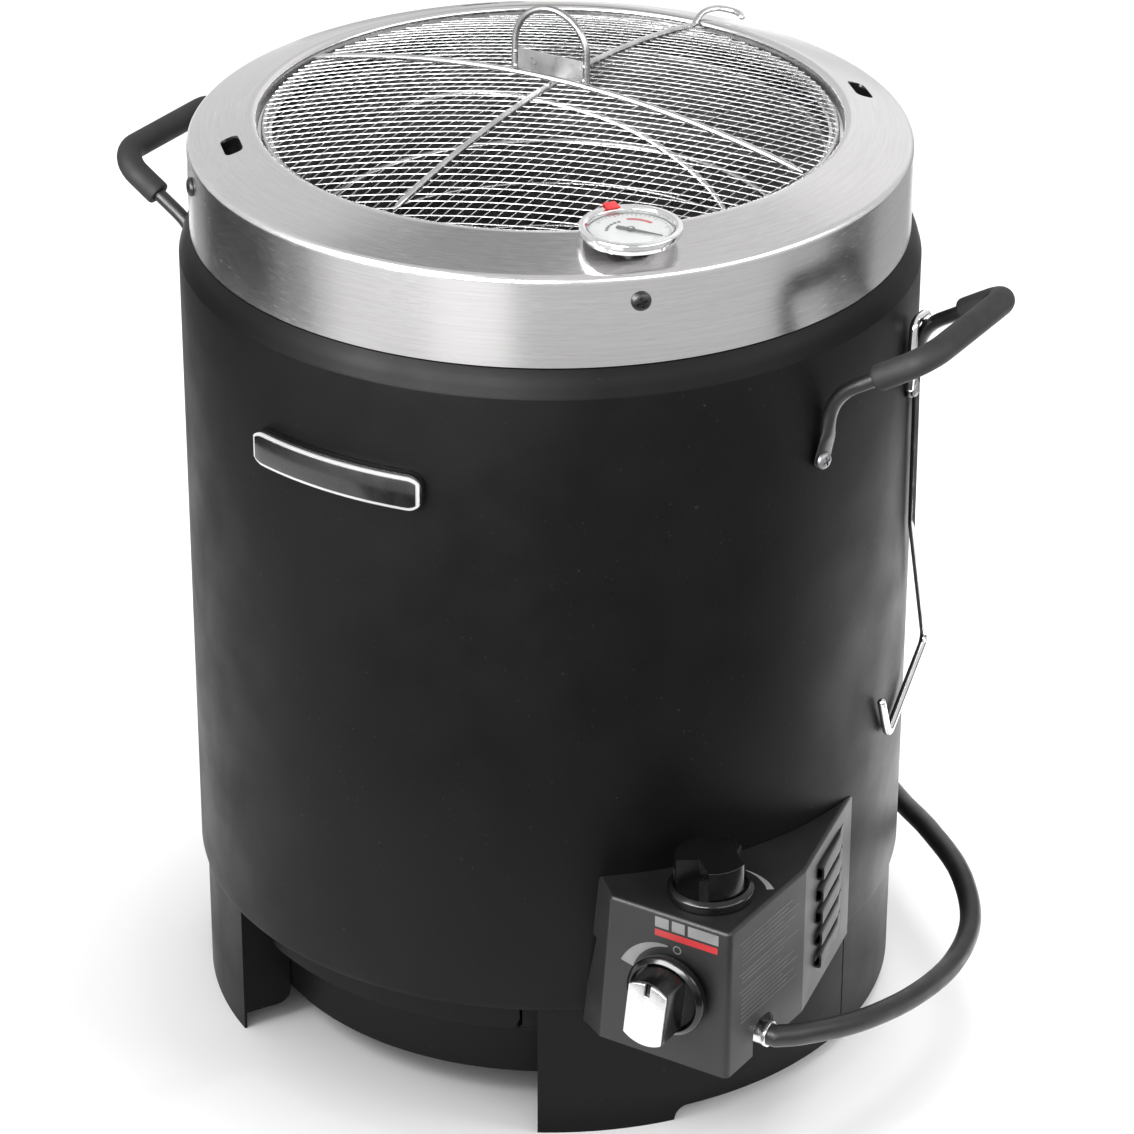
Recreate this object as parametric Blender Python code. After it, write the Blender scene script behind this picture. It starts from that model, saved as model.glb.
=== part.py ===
"""Infrared turkey fryer kit: a floor-standing propane roaster with its lid, basket, tray and tools.

Units are metres and +Z is up. The fryer stands on z = 0, its body axis is the Z axis and its
front, with the badge and the drip tray, faces -Y. Angles named "bearing" are measured in degrees
from the front towards +X, as seen from above.
"""
import math

import bmesh
import bpy
from mathutils import Matrix, Vector

# ---------------------------------------------------------------- driving dimensions
GAP = 0.0003                  # clearance left between neighbouring pieces
BODY_SEGMENTS = 48            # facets round the large sheet-metal pieces

SHELL_RADIUS = 0.2064
SHELL_WALL = 0.0016
SHELL_BOTTOM = 0.0843
SHOULDER_BOTTOM = 0.4610
SHOULDER_TOP = 0.4753
NECK_RADIUS = 0.1982
NECK_TOP = 0.5160

RING_RADIUS = 0.2000
RING_WALL = 0.0012
RING_BOTTOM = 0.4761
RING_EDGE_HEIGHT = 0.5263
RING_CROWN_RADIUS = 0.1655
RING_CROWN_HEIGHT = 0.5378
RING_MOUTH_RADIUS = 0.1612
RING_LEDGE_RADIUS = 0.1530
RING_LEDGE_HEIGHT = 0.5286
RING_SCREW_HEIGHT = 0.5120
CORNER_BEARINGS = (45, 135, 225, 315)

SLOT_RADIUS = 0.1775
SLOT_LENGTH = 0.0220
SLOT_WIDTH = 0.0100

CHAMBER_RADIUS = 0.1520
CHAMBER_WALL = 0.0014
CHAMBER_BOTTOM = 0.1000
DRAIN_RADIUS = 0.0180

BURNER_RADIUS = 0.1780
BURNER_TUBE = 0.0080
BURNER_HEIGHT = 0.1120

LEG_RADIUS = 0.2030
LEG_WALL = 0.0015
LEG_TOP = 0.0980
RIM_RISE = 0.0085             # height of the leg skirt's edge between the feet
FRONT_OPENING = 29.7          # half the front opening, as a bearing
FOOT_SPAN = 22.3              # width of a foot, as a bearing
SEAM_BEARING = 88.0

PAN_RADIUS = 0.1720
PAN_BOTTOM = 0.0200
PAN_TOP = 0.0600

TRAY_HALF_WIDTH = 0.0830
TRAY_FRONT_RADIUS = 0.1890
TRAY_BACK = 0.1000
TRAY_WALL = 0.0012
TRAY_TOP = 0.0800
TRAY_LIP_TOP = 0.0835

PANEL_FRONT = -0.1750
PANEL_SIDE = 0.2210
PANEL_TOP = 0.1715
PANEL_BOTTOM = 0.0785
PANEL_WALL = 0.0015
PANEL_SHELL_GAP = 0.0005

VALVE_AXIS = (0.1861, 0.1255)      # x and z of the gas knob's axis, which runs along Y
IGNITER_AXIS = (0.1906, -0.1433)   # x and y of the igniter knob's vertical axis
KNOB_RADIUS = 0.0240
DRUM_RADIUS = 0.0199
NOTCH_TURN = 31.5                  # degrees from the part's X axis to the notch outlines' X axis
NOTCH_OUTLINES = (
    ((-0.0064, -0.0049), (-0.0260, -0.0049), (-0.0260, -0.0260), (-0.0007, -0.0260)),
    ((0.0137, 0.0039), (0.0199, -0.0200), (0.0320, -0.0200), (0.0320, 0.0222)),
)
VENTURI_BEARING = 50.4
HOSE_RADIUS = 0.0063
HOSE_EXIT = (0.1370, 0.0885)       # distance in front of the axis, and height, of the hose's exit

HANDLE_HALF_SPAN = 0.0508
HANDLE_BEARING = 14.2              # each eye's bearing from the side of the fryer
HANDLE_EYE_HEIGHT = 0.3990
HANDLE_REACH = 0.2612
HANDLE_HEIGHT = 0.4712
ROD_RADIUS = 0.0040
GRIP_RADIUS = 0.0073
GRIP_START = 0.2325
EYE_RADIUS = 0.0058
EYE_FACES = (0.2068, 0.2099)       # inner and outer radius of the flattened eyes

LID_RADIUS = 0.1573
LID_RIM_TUBE = 0.0020
LID_EDGE_HEIGHT = 0.5335
LID_APEX_HEIGHT = 0.5500
LID_SHEET = 0.0008
LID_WIRE = 0.00175
LID_LOOP_HALF_WIDTH = 0.0230
LID_LOOP_TOP = 0.5987

BASKET_RADIUS = 0.1360
BASKET_WALL = 0.0020
BASKET_BOTTOM = 0.1020
BASKET_TOP = 0.4660

DIAL_SIZE = 0.0272                 # radius of the thermometer's bezel
DIAL_BOTTOM = 0.5384
STEM_END = 0.4050

TURN = 2 * math.pi


# ---------------------------------------------------------------- helpers
def direction(bearing):
    """Horizontal unit vector at a bearing."""
    a = math.radians(bearing)
    return Vector((math.sin(a), -math.cos(a), 0.0))


def polar(radius, bearing, z):
    """Point at a radius, bearing and height."""
    return direction(bearing) * radius + Vector((0.0, 0.0, z))


def facing(origin, normal):
    """Matrix that puts local +Z along a normal, at an origin."""
    turn = Vector(normal).normalized().to_track_quat("Z", "Y").to_matrix().to_4x4()
    return Matrix.Translation(Vector(origin)) @ turn


def material(name, colour, roughness, metallic):
    """Principled material with one colour."""
    mat = bpy.data.materials.new(name)
    mat.use_nodes = True
    shader = mat.node_tree.nodes["Principled BSDF"]
    shader.inputs["Base Color"].default_value = (*colour, 1.0)
    shader.inputs["Roughness"].default_value = roughness
    shader.inputs["Metallic"].default_value = metallic
    return mat


def add_turned(bm, profile, segments, matrix=None):
    """Solid of revolution about local Z. A profile that starts on the axis ends on it too."""
    verts = [bm.verts.new((r, 0.0, z)) for r, z in profile]
    edges = [bm.edges.new(pair) for pair in zip(verts, verts[1:])]
    if profile[0][0] > 0:
        edges.append(bm.edges.new((verts[-1], verts[0])))
    before = set(bm.verts) - set(verts)
    bmesh.ops.spin(bm, geom=verts + edges, cent=(0, 0, 0), axis=(0, 0, 1), dvec=(0, 0, 0),
                   angle=TURN, steps=segments, use_merge=True, use_duplicate=False)
    made = [v for v in bm.verts if v not in before]
    bmesh.ops.remove_doubles(bm, verts=made, dist=1e-6)
    made = [v for v in bm.verts if v not in before]
    if matrix is not None:
        bmesh.ops.transform(bm, matrix=matrix, verts=made)


def add_box(bm, low, high, matrix=None):
    """Axis-aligned box, moved by an optional matrix."""
    low, high = Vector(low), Vector(high)
    place = Matrix.Translation((low + high) / 2) @ Matrix.Diagonal((*(high - low), 1.0))
    if matrix is not None:
        place = matrix @ place
    bmesh.ops.create_cube(bm, size=1.0, matrix=place)


def add_rod(bm, start, end, radius, sides=16):
    """Straight cylinder between two points."""
    start, end = Vector(start), Vector(end)
    place = facing((start + end) / 2, end - start)
    bmesh.ops.create_cone(bm, cap_ends=True, segments=sides, radius1=radius, radius2=radius,
                          depth=(end - start).length, matrix=place)


def add_prism(bm, outline, low, high, matrix=None):
    """Outline in local XY, extruded from low to high along local Z."""
    verts = [bm.verts.new((x, y, low)) for x, y in outline]
    face = bm.faces.new(verts)
    grown = bmesh.ops.extrude_face_region(bm, geom=[face])["geom"]
    raised = [v for v in grown if isinstance(v, bmesh.types.BMVert)]
    bmesh.ops.translate(bm, verts=raised, vec=(0.0, 0.0, high - low))
    if matrix is not None:
        bmesh.ops.transform(bm, matrix=matrix, verts=verts + raised)


def rounded_path(points, radii, steps=4):
    """Polyline whose corners are replaced with arcs of the given radii."""
    points = [Vector(p) for p in points]
    path = [points[0]]
    for before, corner, after, radius in zip(points, points[1:], points[2:], radii):
        u = (before - corner).normalized()
        v = (after - corner).normalized()
        half = math.acos(max(-1.0, min(1.0, u.dot(v)))) / 2
        reach = radius / math.tan(half)
        centre = corner + (u + v).normalized() * (radius / math.sin(half))
        start = (corner + u * reach - centre).normalized()
        end = (corner + v * reach - centre).normalized()
        for k in range(steps + 1):
            path.append(centre + start.slerp(end, k / steps) * radius)
    path.append(points[-1])
    return path


def smooth_path(points, steps):
    """Catmull-Rom curve through the points."""
    points = [Vector(p) for p in points]
    padded = [2 * points[0] - points[1], *points, 2 * points[-1] - points[-2]]
    path = []
    for a, b, c, d in zip(padded, padded[1:], padded[2:], padded[3:]):
        for k in range(steps):
            t = k / steps
            path.append(0.5 * (2 * b + (c - a) * t + (2 * a - 5 * b + 4 * c - d) * t ** 2
                               + (3 * b - a - 3 * c + d) * t ** 3))
    path.append(points[-1])
    return path


def path_rings(bm, path, radius, sides):
    """Circle of vertices square to the path at each of its points."""
    tangents = [(b - a).normalized() for a, b in zip(path, path[1:])]
    tangents = [tangents[0], *[(a + b).normalized() for a, b in zip(tangents, tangents[1:])],
                tangents[-1]]
    side = tangents[0].orthogonal().normalized()
    rings = []
    for point, tangent in zip(path, tangents):
        side = (side - tangent * side.dot(tangent)).normalized()
        up = tangent.cross(side)
        angles = [TURN * k / sides for k in range(sides)]
        rings.append([bm.verts.new(point + (side * math.cos(a) + up * math.sin(a)) * radius)
                      for a in angles])
    return rings


def skin(bm, rings):
    """Quads between each ring and the next."""
    for a, b in zip(rings, rings[1:]):
        for k in range(len(a)):
            n = (k + 1) % len(a)
            bm.faces.new((a[k], a[n], b[n], b[k]))


def add_tube(bm, path, radius, sides=8, bore=None):
    """Round bar along a path, or a sleeve when it has a bore."""
    outer = path_rings(bm, path, radius, sides)
    skin(bm, outer)
    if bore is None:
        bm.faces.new(outer[0])
        bm.faces.new(outer[-1])
        return
    inner = path_rings(bm, path, bore, sides)
    skin(bm, inner)
    for end in (0, -1):
        skin(bm, [outer[end], inner[end]])


def add_curved_plate(bm, columns, inner, outer):
    """Plate bent round the body axis. Each column is a bearing, a low edge and a high edge."""
    grid = []
    for bearing, low, high in columns:
        corners = ((inner, low), (outer, low), (outer, high), (inner, high))
        grid.append([bm.verts.new(polar(r, bearing, z)) for r, z in corners])
    skin(bm, grid)
    bm.faces.new(grid[0])
    bm.faces.new(grid[-1])


def shade(mesh, sharp_degrees=32):
    """Smooth round faces and keep the corners sharp."""
    mesh.shade_smooth()
    mesh.set_sharp_from_angle(angle=math.radians(sharp_degrees))


def build(name, bm, mat=None, parent=None, origin=(0.0, 0.0, 0.0)):
    """Object from a bmesh in world space, with its own origin and an optional parent."""
    bmesh.ops.recalc_face_normals(bm, faces=bm.faces[:])
    bmesh.ops.translate(bm, verts=bm.verts[:], vec=-Vector(origin))
    mesh = bpy.data.meshes.new(name)
    bm.to_mesh(mesh)
    bm.free()
    shade(mesh)
    obj = bpy.data.objects.new(name, mesh)
    bpy.context.scene.collection.objects.link(obj)
    obj.location = origin
    if mat is not None:
        mesh.materials.append(mat)
    if parent is not None:
        obj.parent = parent
        obj.location = Vector(origin) - parent.location
    return obj


def apply_tool(target, bm, operation, self_overlap=False):
    """Boolean with the solids in a bmesh, kept as a hidden tool object."""
    tool = build(f"{target.name}_{operation.lower()}", bm)
    tool.hide_render = True
    tool.display_type = "WIRE"
    modifier = target.modifiers.new(operation.title(), "BOOLEAN")
    modifier.operation = operation
    modifier.solver = "EXACT"
    modifier.use_self = self_overlap
    modifier.object = tool
    if target.parent is not None:
        tool.parent = target.parent
        tool.location = -target.parent.location


def cut(target, bm, self_overlap=False):
    """Cut the solids in a bmesh out of a piece. Self overlap says that they meet each other."""
    apply_tool(target, bm, "DIFFERENCE", self_overlap)


def join(target, bm, self_overlap=False):
    """Join the solids in a bmesh to a piece. Self overlap says that they meet each other."""
    apply_tool(target, bm, "UNION", self_overlap)


def joint(name, location):
    """Empty on a moving piece's joint axis."""
    empty = bpy.data.objects.new(name, None)
    empty.empty_display_size = 0.02
    empty.location = location
    bpy.context.scene.collection.objects.link(empty)
    return empty


# ---------------------------------------------------------------- body
def screw_holes(bm, bearings, height, inner, outer, radius=0.0023):
    """Radial cutters for screws."""
    for bearing in bearings:
        add_rod(bm, polar(inner, bearing, height), polar(outer, bearing, height), radius, 8)


def handle_bearings():
    """Bearings of the four handle eyes."""
    return [side + turn for side in (90, 270) for turn in (-HANDLE_BEARING, HANDLE_BEARING)]


def outer_shell(mat):
    """Painted body with a rounded shoulder and a neck that stands inside the top ring."""
    r, wall = SHELL_RADIUS, SHELL_WALL
    outside = [(r - 0.0008, SHELL_BOTTOM), (r, SHELL_BOTTOM + 0.0042), (r, SHOULDER_BOTTOM),
               (r - 0.0012, SHOULDER_BOTTOM + 0.0045), (r - 0.0034, SHOULDER_BOTTOM + 0.0095),
               (RING_RADIUS, SHOULDER_TOP), (NECK_RADIUS, SHOULDER_TOP + 0.0003),
               (NECK_RADIUS, NECK_TOP)]
    inside = [(NECK_RADIUS - wall, NECK_TOP), (NECK_RADIUS - wall, SHOULDER_TOP - 0.0006),
              (r - 0.0044, SHOULDER_BOTTOM + 0.0082), (r - wall, SHOULDER_BOTTOM - 0.0008),
              (r - wall, SHELL_BOTTOM + 0.0040), (r - wall - 0.0008, SHELL_BOTTOM)]
    bm = bmesh.new()
    add_turned(bm, outside + inside, BODY_SEGMENTS)
    shell = build("outer_shell", bm, mat)
    holes = bmesh.new()
    screw_holes(holes, CORNER_BEARINGS, RING_SCREW_HEIGHT, 0.190, 0.204)
    screw_holes(holes, handle_bearings(), HANDLE_EYE_HEIGHT, 0.200, 0.212)
    add_rod(holes, polar(0.195, VENTURI_BEARING, BURNER_HEIGHT),
            polar(0.215, VENTURI_BEARING, BURNER_HEIGHT), 0.012)
    cut(shell, holes)


def slot_outline():
    """Vent slot: straight along its length, with bowed ends. X is radial."""
    half_w, half_l, bow = SLOT_WIDTH / 2, SLOT_LENGTH / 2, 0.0035
    side = [(half_w, -half_l + bow), (half_w, half_l - bow)]
    end = [(half_w * 0.55, half_l - 0.0006), (0.0, half_l), (-half_w * 0.55, half_l - 0.0006)]
    return side + end + [(-x, -y) for x, y in side + end]


def top_ring(mat):
    """Stainless ring: skirt, raised sloping top with vent slots, rolled mouth and lid ledge."""
    r, wall = RING_RADIUS, RING_WALL
    edge, crown_r, crown_z = RING_EDGE_HEIGHT, RING_CROWN_RADIUS, RING_CROWN_HEIGHT
    mouth, ledge = RING_MOUTH_RADIUS, RING_LEDGE_HEIGHT
    outside = [(r, RING_BOTTOM), (r, edge - 0.0048), (r - 0.0011, edge - 0.0018),
               (r - 0.0035, edge), (crown_r + 0.0025, crown_z - 0.0007), (crown_r, crown_z),
               (crown_r - 0.0020, crown_z - 0.0003), (mouth + 0.0006, crown_z - 0.0016),
               (mouth, crown_z - 0.0038), (mouth, ledge), (RING_LEDGE_RADIUS, ledge)]
    inside = [(RING_LEDGE_RADIUS, ledge - wall), (mouth + wall, ledge - wall),
              (mouth + wall, crown_z - 0.0040), (crown_r, crown_z - wall - 0.0002),
              (r - 0.0040, edge - wall), (r - wall, edge - 0.0050), (r - wall, RING_BOTTOM)]
    bm = bmesh.new()
    add_turned(bm, outside + inside, BODY_SEGMENTS)
    ring = build("top_ring", bm, mat)
    holes = bmesh.new()
    for bearing in CORNER_BEARINGS:
        turn = Matrix.Rotation(math.radians(bearing - 90), 4, "Z")
        place = turn @ Matrix.Translation((SLOT_RADIUS, 0.0, 0.0))
        add_prism(holes, slot_outline(), 0.522, 0.545, place)
    screw_holes(holes, CORNER_BEARINGS, RING_SCREW_HEIGHT, 0.1984, 0.204)
    cut(ring, holes)


def cooking_chamber(mat):
    """Open stainless pot, hung by its flange from the neck, with a drain and four flue holes."""
    r, wall, base = CHAMBER_RADIUS, CHAMBER_WALL, CHAMBER_BOTTOM
    flange = NECK_TOP + GAP
    outside = [(DRAIN_RADIUS, base), (r - 0.0120, base), (r - 0.0030, base + 0.0035),
               (r, base + 0.0120), (r, flange), (NECK_RADIUS - 0.0010, flange),
               (NECK_RADIUS - 0.0010, flange + wall)]
    inside = [(r - wall, flange + wall), (r - wall, base + 0.0124),
              (r - 0.0041, base + 0.0046), (r - 0.0124, base + wall), (DRAIN_RADIUS, base + wall)]
    bm = bmesh.new()
    add_turned(bm, outside + inside, BODY_SEGMENTS)
    chamber = build("cooking_chamber", bm, mat)
    holes = bmesh.new()
    for bearing in CORNER_BEARINGS:
        add_rod(holes, polar(SLOT_RADIUS, bearing, 0.508), polar(SLOT_RADIUS, bearing, 0.525),
                0.013, 12)
    cut(chamber, holes)


def fastener(name, bearing, height, head_base, head_radius, shank_end, mat):
    """Pan-head screw that points at the body axis."""
    shank = 0.0020
    profile = [(0.0, shank_end), (shank, shank_end), (shank, head_base),
               (head_radius, head_base), (head_radius * 0.92, head_base + 0.0014),
               (head_radius * 0.60, head_base + 0.0024), (0.0, head_base + 0.0026)]
    place = facing((0.0, 0.0, height), direction(bearing))
    bm = bmesh.new()
    add_turned(bm, profile, 10, place)
    build(name, bm, mat)


def fasteners(mat):
    """Four ring screws and four handle screws."""
    corners = ("front_right", "rear_right", "rear_left", "front_left")
    for corner, bearing in zip(corners, CORNER_BEARINGS):
        fastener(f"ring_screw_{corner}", bearing, RING_SCREW_HEIGHT,
                 RING_RADIUS + GAP, 0.0052, 0.1935, mat)
    for corner, bearing in zip(corners, handle_bearings()):
        fastener(f"handle_screw_{corner}", bearing, HANDLE_EYE_HEIGHT,
                 EYE_FACES[1] + GAP, 0.0048, 0.2000, mat)


# ---------------------------------------------------------------- base
def skirt_columns(start, end, feet):
    """Columns of the leg skirt: its lower edge is on the floor only at the feet."""
    notch = ((0.0, 0.0), (0.5, 0.0055), (1.3, 0.0078), (2.4, RIM_RISE))
    stops = {}
    for first, last in feet:
        for step, rise in notch:
            if first > start:
                stops[first - step] = rise
            if last < end:
                stops[last + step] = rise
        if first <= start:
            stops[start] = 0.0
    for edge in (start, end):
        stops.setdefault(edge, RIM_RISE)
    keys = sorted(stops)
    columns = []
    for a, b in zip(keys, keys[1:]):
        count = max(1, math.ceil((b - a) / 7.5))
        for k in range(count):
            bearing = a + (b - a) * k / count
            low = stops[a] + (stops[b] - stops[a]) * k / count
            columns.append((bearing, low, LEG_TOP))
    columns.append((end, stops[end], LEG_TOP))
    return columns


def leg_flange(bearing):
    """Radial plate that folds inwards from a front leg's edge to hold the base pan."""
    reach_in, reach_out, low, corner = PAN_RADIUS + 0.0007, LEG_RADIUS - 0.0008, 0.010, 0.010
    outline = [(reach_out, low), (reach_out, LEG_TOP - 0.001), (reach_in, LEG_TOP - 0.001)]
    for k in range(4):
        a = math.radians(180 + 30 * k)
        outline.append((reach_in + corner + corner * math.cos(a),
                        low + corner + corner * math.sin(a)))
    along = direction(bearing)
    across = Vector((0.0, 0.0, 1.0))
    normal = along.cross(across)
    place = Matrix((along, across, normal)).transposed().to_4x4()
    bm = bmesh.new()
    add_prism(bm, outline, -LEG_WALL / 2, LEG_WALL / 2, place)
    return bm


def legs(mat):
    """Two front leg plates and one rear skirt, all standing inside the shell's lower rim."""
    inner = LEG_RADIUS - LEG_WALL
    for name, side in (("leg_front_right", 1), ("leg_front_left", -1)):
        columns = skirt_columns(FRONT_OPENING, SEAM_BEARING,
                                [(FRONT_OPENING, FRONT_OPENING + FOOT_SPAN)])
        bm = bmesh.new()
        add_curved_plate(bm, [(side * a, low, high) for a, low, high in columns],
                         inner, LEG_RADIUS)
        leg = build(name, bm, mat)
        join(leg, leg_flange(side * (FRONT_OPENING + 0.3)))
    gap = 0.25
    rear_foot = 180 - FRONT_OPENING
    feet = [(rear_foot - FOOT_SPAN, rear_foot), (360 - rear_foot, 360 - rear_foot + FOOT_SPAN)]
    bm = bmesh.new()
    add_curved_plate(bm, skirt_columns(SEAM_BEARING + gap, 360 - SEAM_BEARING - gap, feet),
                     inner, LEG_RADIUS)
    build("leg_rear_skirt", bm, mat)


def base_pan(mat):
    """Fixed heat shield under the drip tray."""
    r, wall = PAN_RADIUS, 0.0015
    profile = [(0.0, PAN_BOTTOM), (r - 0.012, PAN_BOTTOM), (r - 0.003, PAN_BOTTOM + 0.0035),
               (r, PAN_BOTTOM + 0.012), (r, PAN_TOP), (r - wall, PAN_TOP),
               (r - wall, PAN_BOTTOM + 0.0125), (r - 0.0041, PAN_BOTTOM + 0.0047),
               (r - 0.0125, PAN_BOTTOM + wall), (0.0, PAN_BOTTOM + wall)]
    bm = bmesh.new()
    add_turned(bm, profile, 40)
    build("base_pan", bm, mat)


def tray_outline(inset):
    """Plan of the drip tray, with a front that follows the body's curve."""
    radius = TRAY_FRONT_RADIUS - 0.0008 - inset
    half = TRAY_HALF_WIDTH - inset
    limit = math.degrees(math.asin(half / radius))
    front = [polar(radius, limit * k / 5, 0.0).xy for k in range(-5, 6)]
    back = TRAY_BACK - inset
    return [tuple(p) for p in front] + [(half, back), (-half, back)]


def drip_tray(mat, parent):
    """Sliding tray with a curved front wall."""
    bottom = PAN_TOP + GAP
    bm = bmesh.new()
    add_prism(bm, tray_outline(0.0), bottom, TRAY_TOP)
    tray = build("drip_tray", bm, mat, parent, parent.location)
    hollow = bmesh.new()
    add_prism(hollow, tray_outline(TRAY_WALL), bottom + TRAY_WALL, TRAY_TOP + 0.01)
    cut(tray, hollow)
    front = bmesh.new()
    columns = []
    for k in range(13):
        bearing = -26.5 + 53 * k / 12
        corner = 0.006 if k in (0, 12) else 0.0
        columns.append((bearing, bottom + 0.0002 + corner, TRAY_LIP_TOP))
    add_curved_plate(front, columns, TRAY_FRONT_RADIUS - 0.0019, TRAY_FRONT_RADIUS)
    join(tray, front)


# ---------------------------------------------------------------- handles
def handle_corners(side):
    """Corner points of a bail handle's centre line, front end first."""
    foot = (0.2047, HANDLE_HALF_SPAN, 0.4045)
    knee = (0.2047, HANDLE_HALF_SPAN, 0.4365)
    corner = (HANDLE_REACH, HANDLE_HALF_SPAN - 0.0023, HANDLE_HEIGHT)
    front = [(side * x, -y, z) for x, y, z in (foot, knee, corner)]
    rear = [(side * x, y, z) for x, y, z in (corner, knee, foot)]
    return front, rear


def handles(rod_mat, grip_mat):
    """Rod, with flattened eyes at its ends, and padded grip of each side handle."""
    for name, side in (("right", 1), ("left", -1)):
        front, rear = handle_corners(side)
        bm = bmesh.new()
        add_tube(bm, rounded_path(front + rear, (0.030, 0.017, 0.017, 0.030)), ROD_RADIUS)
        rod = build(f"handle_rod_{name}", bm, rod_mat)
        eyes = bmesh.new()
        bores = bmesh.new()
        for turn in (-HANDLE_BEARING, HANDLE_BEARING):
            bearing = 90 * side + turn
            inner = polar(EYE_FACES[0], bearing, HANDLE_EYE_HEIGHT)
            outer = polar(EYE_FACES[1], bearing, HANDLE_EYE_HEIGHT)
            add_rod(eyes, inner, outer, EYE_RADIUS)
            neck = facing(polar(0.0, bearing, HANDLE_EYE_HEIGHT), direction(bearing))
            add_box(eyes, (-0.0045, 0.0, EYE_FACES[0] + 0.0001),
                    (0.0045, 0.0090, EYE_FACES[1] - 0.0001), neck)
            screw_holes(bores, [bearing], HANDLE_EYE_HEIGHT, 0.204, 0.212)
        join(rod, eyes, self_overlap=True)
        cut(rod, bores)
        share = (GRIP_START - front[1][0] * side) / (HANDLE_REACH - front[1][0] * side)
        start = Vector(front[1]).lerp(Vector(front[2]), share)
        end = Vector(rear[1]).lerp(Vector(rear[0]), share)
        bm = bmesh.new()
        add_tube(bm, rounded_path([start, front[2], rear[0], end], (0.017, 0.017)),
                 GRIP_RADIUS, 10, bore=ROD_RADIUS + 0.0005)
        build(f"handle_grip_{name}", bm, grip_mat)


def badge(mat):
    """Plain raised plate with rounded ends on the front of the shell."""
    left, right, middle, half_height, count = -17.0, 13.0, 0.4015, 0.0130, 12
    columns = []
    for k in range(count + 1):
        bearing = left + (right - left) * k / count
        end_distance = min(bearing - left, right - bearing)
        squeeze = min(1.0, 0.45 + 0.55 * math.sqrt(min(1.0, end_distance / 2.6)))
        half = half_height * squeeze
        columns.append((bearing, middle - half, middle + half))
    bm = bmesh.new()
    add_curved_plate(bm, columns, SHELL_RADIUS + 0.0006, 0.2137)
    build("badge", bm, mat)


# ---------------------------------------------------------------- gas train
def burner(mat):
    """Ring burner with three tabs that reach the shell."""
    profile = []
    for k in range(8):
        a = TURN * k / 8
        profile.append((BURNER_RADIUS + BURNER_TUBE * math.cos(a),
                        BURNER_HEIGHT + BURNER_TUBE * math.sin(a)))
    bm = bmesh.new()
    add_turned(bm, profile, 36)
    ring = build("burner_ring", bm, mat)
    tabs = bmesh.new()
    for bearing in (0, 120, 240):
        place = Matrix.Rotation(math.radians(bearing - 90), 4, "Z")
        reach = SHELL_RADIUS - SHELL_WALL - 0.0008
        add_box(tabs, (0.183, -0.006, 0.111), (reach, 0.006, 0.113), place)
    join(ring, tabs)


def venturi(mat):
    """Mixing tube that carries gas and air from the valve through the shell to the burner."""
    start = BURNER_RADIUS + BURNER_TUBE + GAP
    place = facing((0.0, 0.0, BURNER_HEIGHT), direction(VENTURI_BEARING))
    profile = [(0.0050, start), (0.0070, start), (0.0070, 0.2140), (0.0090, 0.2160),
               (0.0090, 0.2225), (0.0065, 0.2225), (0.0050, 0.2140)]
    bm = bmesh.new()
    add_turned(bm, profile, 16, place)
    build("venturi_tube", bm, mat)


def gas_valve(body_mat, pipe_mat):
    """Valve body behind the panel, and the inlet pipe that feeds it."""
    x, z = VALVE_AXIS
    boss = PANEL_FRONT + PANEL_WALL + GAP
    bm = bmesh.new()
    add_box(bm, (x - 0.0125, -0.1700, 0.1040), (x + 0.0125, -0.1400, z + 0.0130))
    valve = build("gas_valve", bm, body_mat)
    nose = bmesh.new()
    add_rod(nose, (x, boss, z), (x, -0.1650, z), 0.0085)
    join(valve, nose)
    bore = bmesh.new()
    add_rod(bore, (x, boss - 0.002, z), (x, -0.1500, z), 0.0054)
    cut(valve, bore)
    out, height = HOSE_EXIT
    bm = bmesh.new()
    path = rounded_path([(x, -0.1480, 0.1037), (x, -0.1480, height), (x + 0.0100, -out, height),
                         (0.2112, -out, height)], (0.006, 0.006), 3)
    add_tube(bm, path, 0.0045)
    build("gas_inlet_pipe", bm, pipe_mat)


def gas_knob(brass, steel, plastic, chrome, turn_joint, push_joint):
    """Turning plug, sprung stem, knob and the knob's bright face plate."""
    x, z = VALVE_AXIS
    along = facing((x, 0.0, z), (0.0, -1.0, 0.0))
    bm = bmesh.new()
    add_turned(bm, [(0.0, 0.1503), (0.0051, 0.1503), (0.0051, 0.1722), (0.0033, 0.1722),
                    (0.0033, 0.1540), (0.0, 0.1540)], 12, along)
    build("gas_valve_plug", bm, brass, turn_joint, turn_joint.location)
    bm = bmesh.new()
    add_rod(bm, (x, -0.1585, z), (x, -0.1930, z), 0.0029, 12)
    build("gas_valve_stem", bm, steel, push_joint, push_joint.location)
    back, face = 0.1798, 0.2035
    skirt = [(0.0, 0.1936), (0.0034, 0.1936), (0.0034, back), (KNOB_RADIUS, back),
             (KNOB_RADIUS, back + 0.0036), (KNOB_RADIUS - 0.0028, back + 0.0064),
             (DRUM_RADIUS, back + 0.0060), (0.0120, back + 0.0080), (0.0080, 0.1955), (0.0, 0.1960)]
    bm = bmesh.new()
    add_turned(bm, skirt, 28, along)
    knob = build("gas_knob", bm, plastic, push_joint, push_joint.location)
    grip = bmesh.new()
    add_prism(grip, bar_outline(0.0120, DRUM_RADIUS), 0.1945, face, along)
    wings = bmesh.new()
    for side in (-1, 1):
        edges = sorted((side * 0.0060, side * 0.0180))
        add_box(wings, (-0.0120, edges[0], 0.1830), (0.0120, edges[1], 0.1950), along)
    join(knob, grip)
    join(knob, wings)
    bm = bmesh.new()
    add_prism(bm, bar_outline(0.0118, DRUM_RADIUS - 0.0002), face + GAP, 0.2065, along)
    build("gas_knob_plate", bm, chrome, push_joint, push_joint.location)


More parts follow.
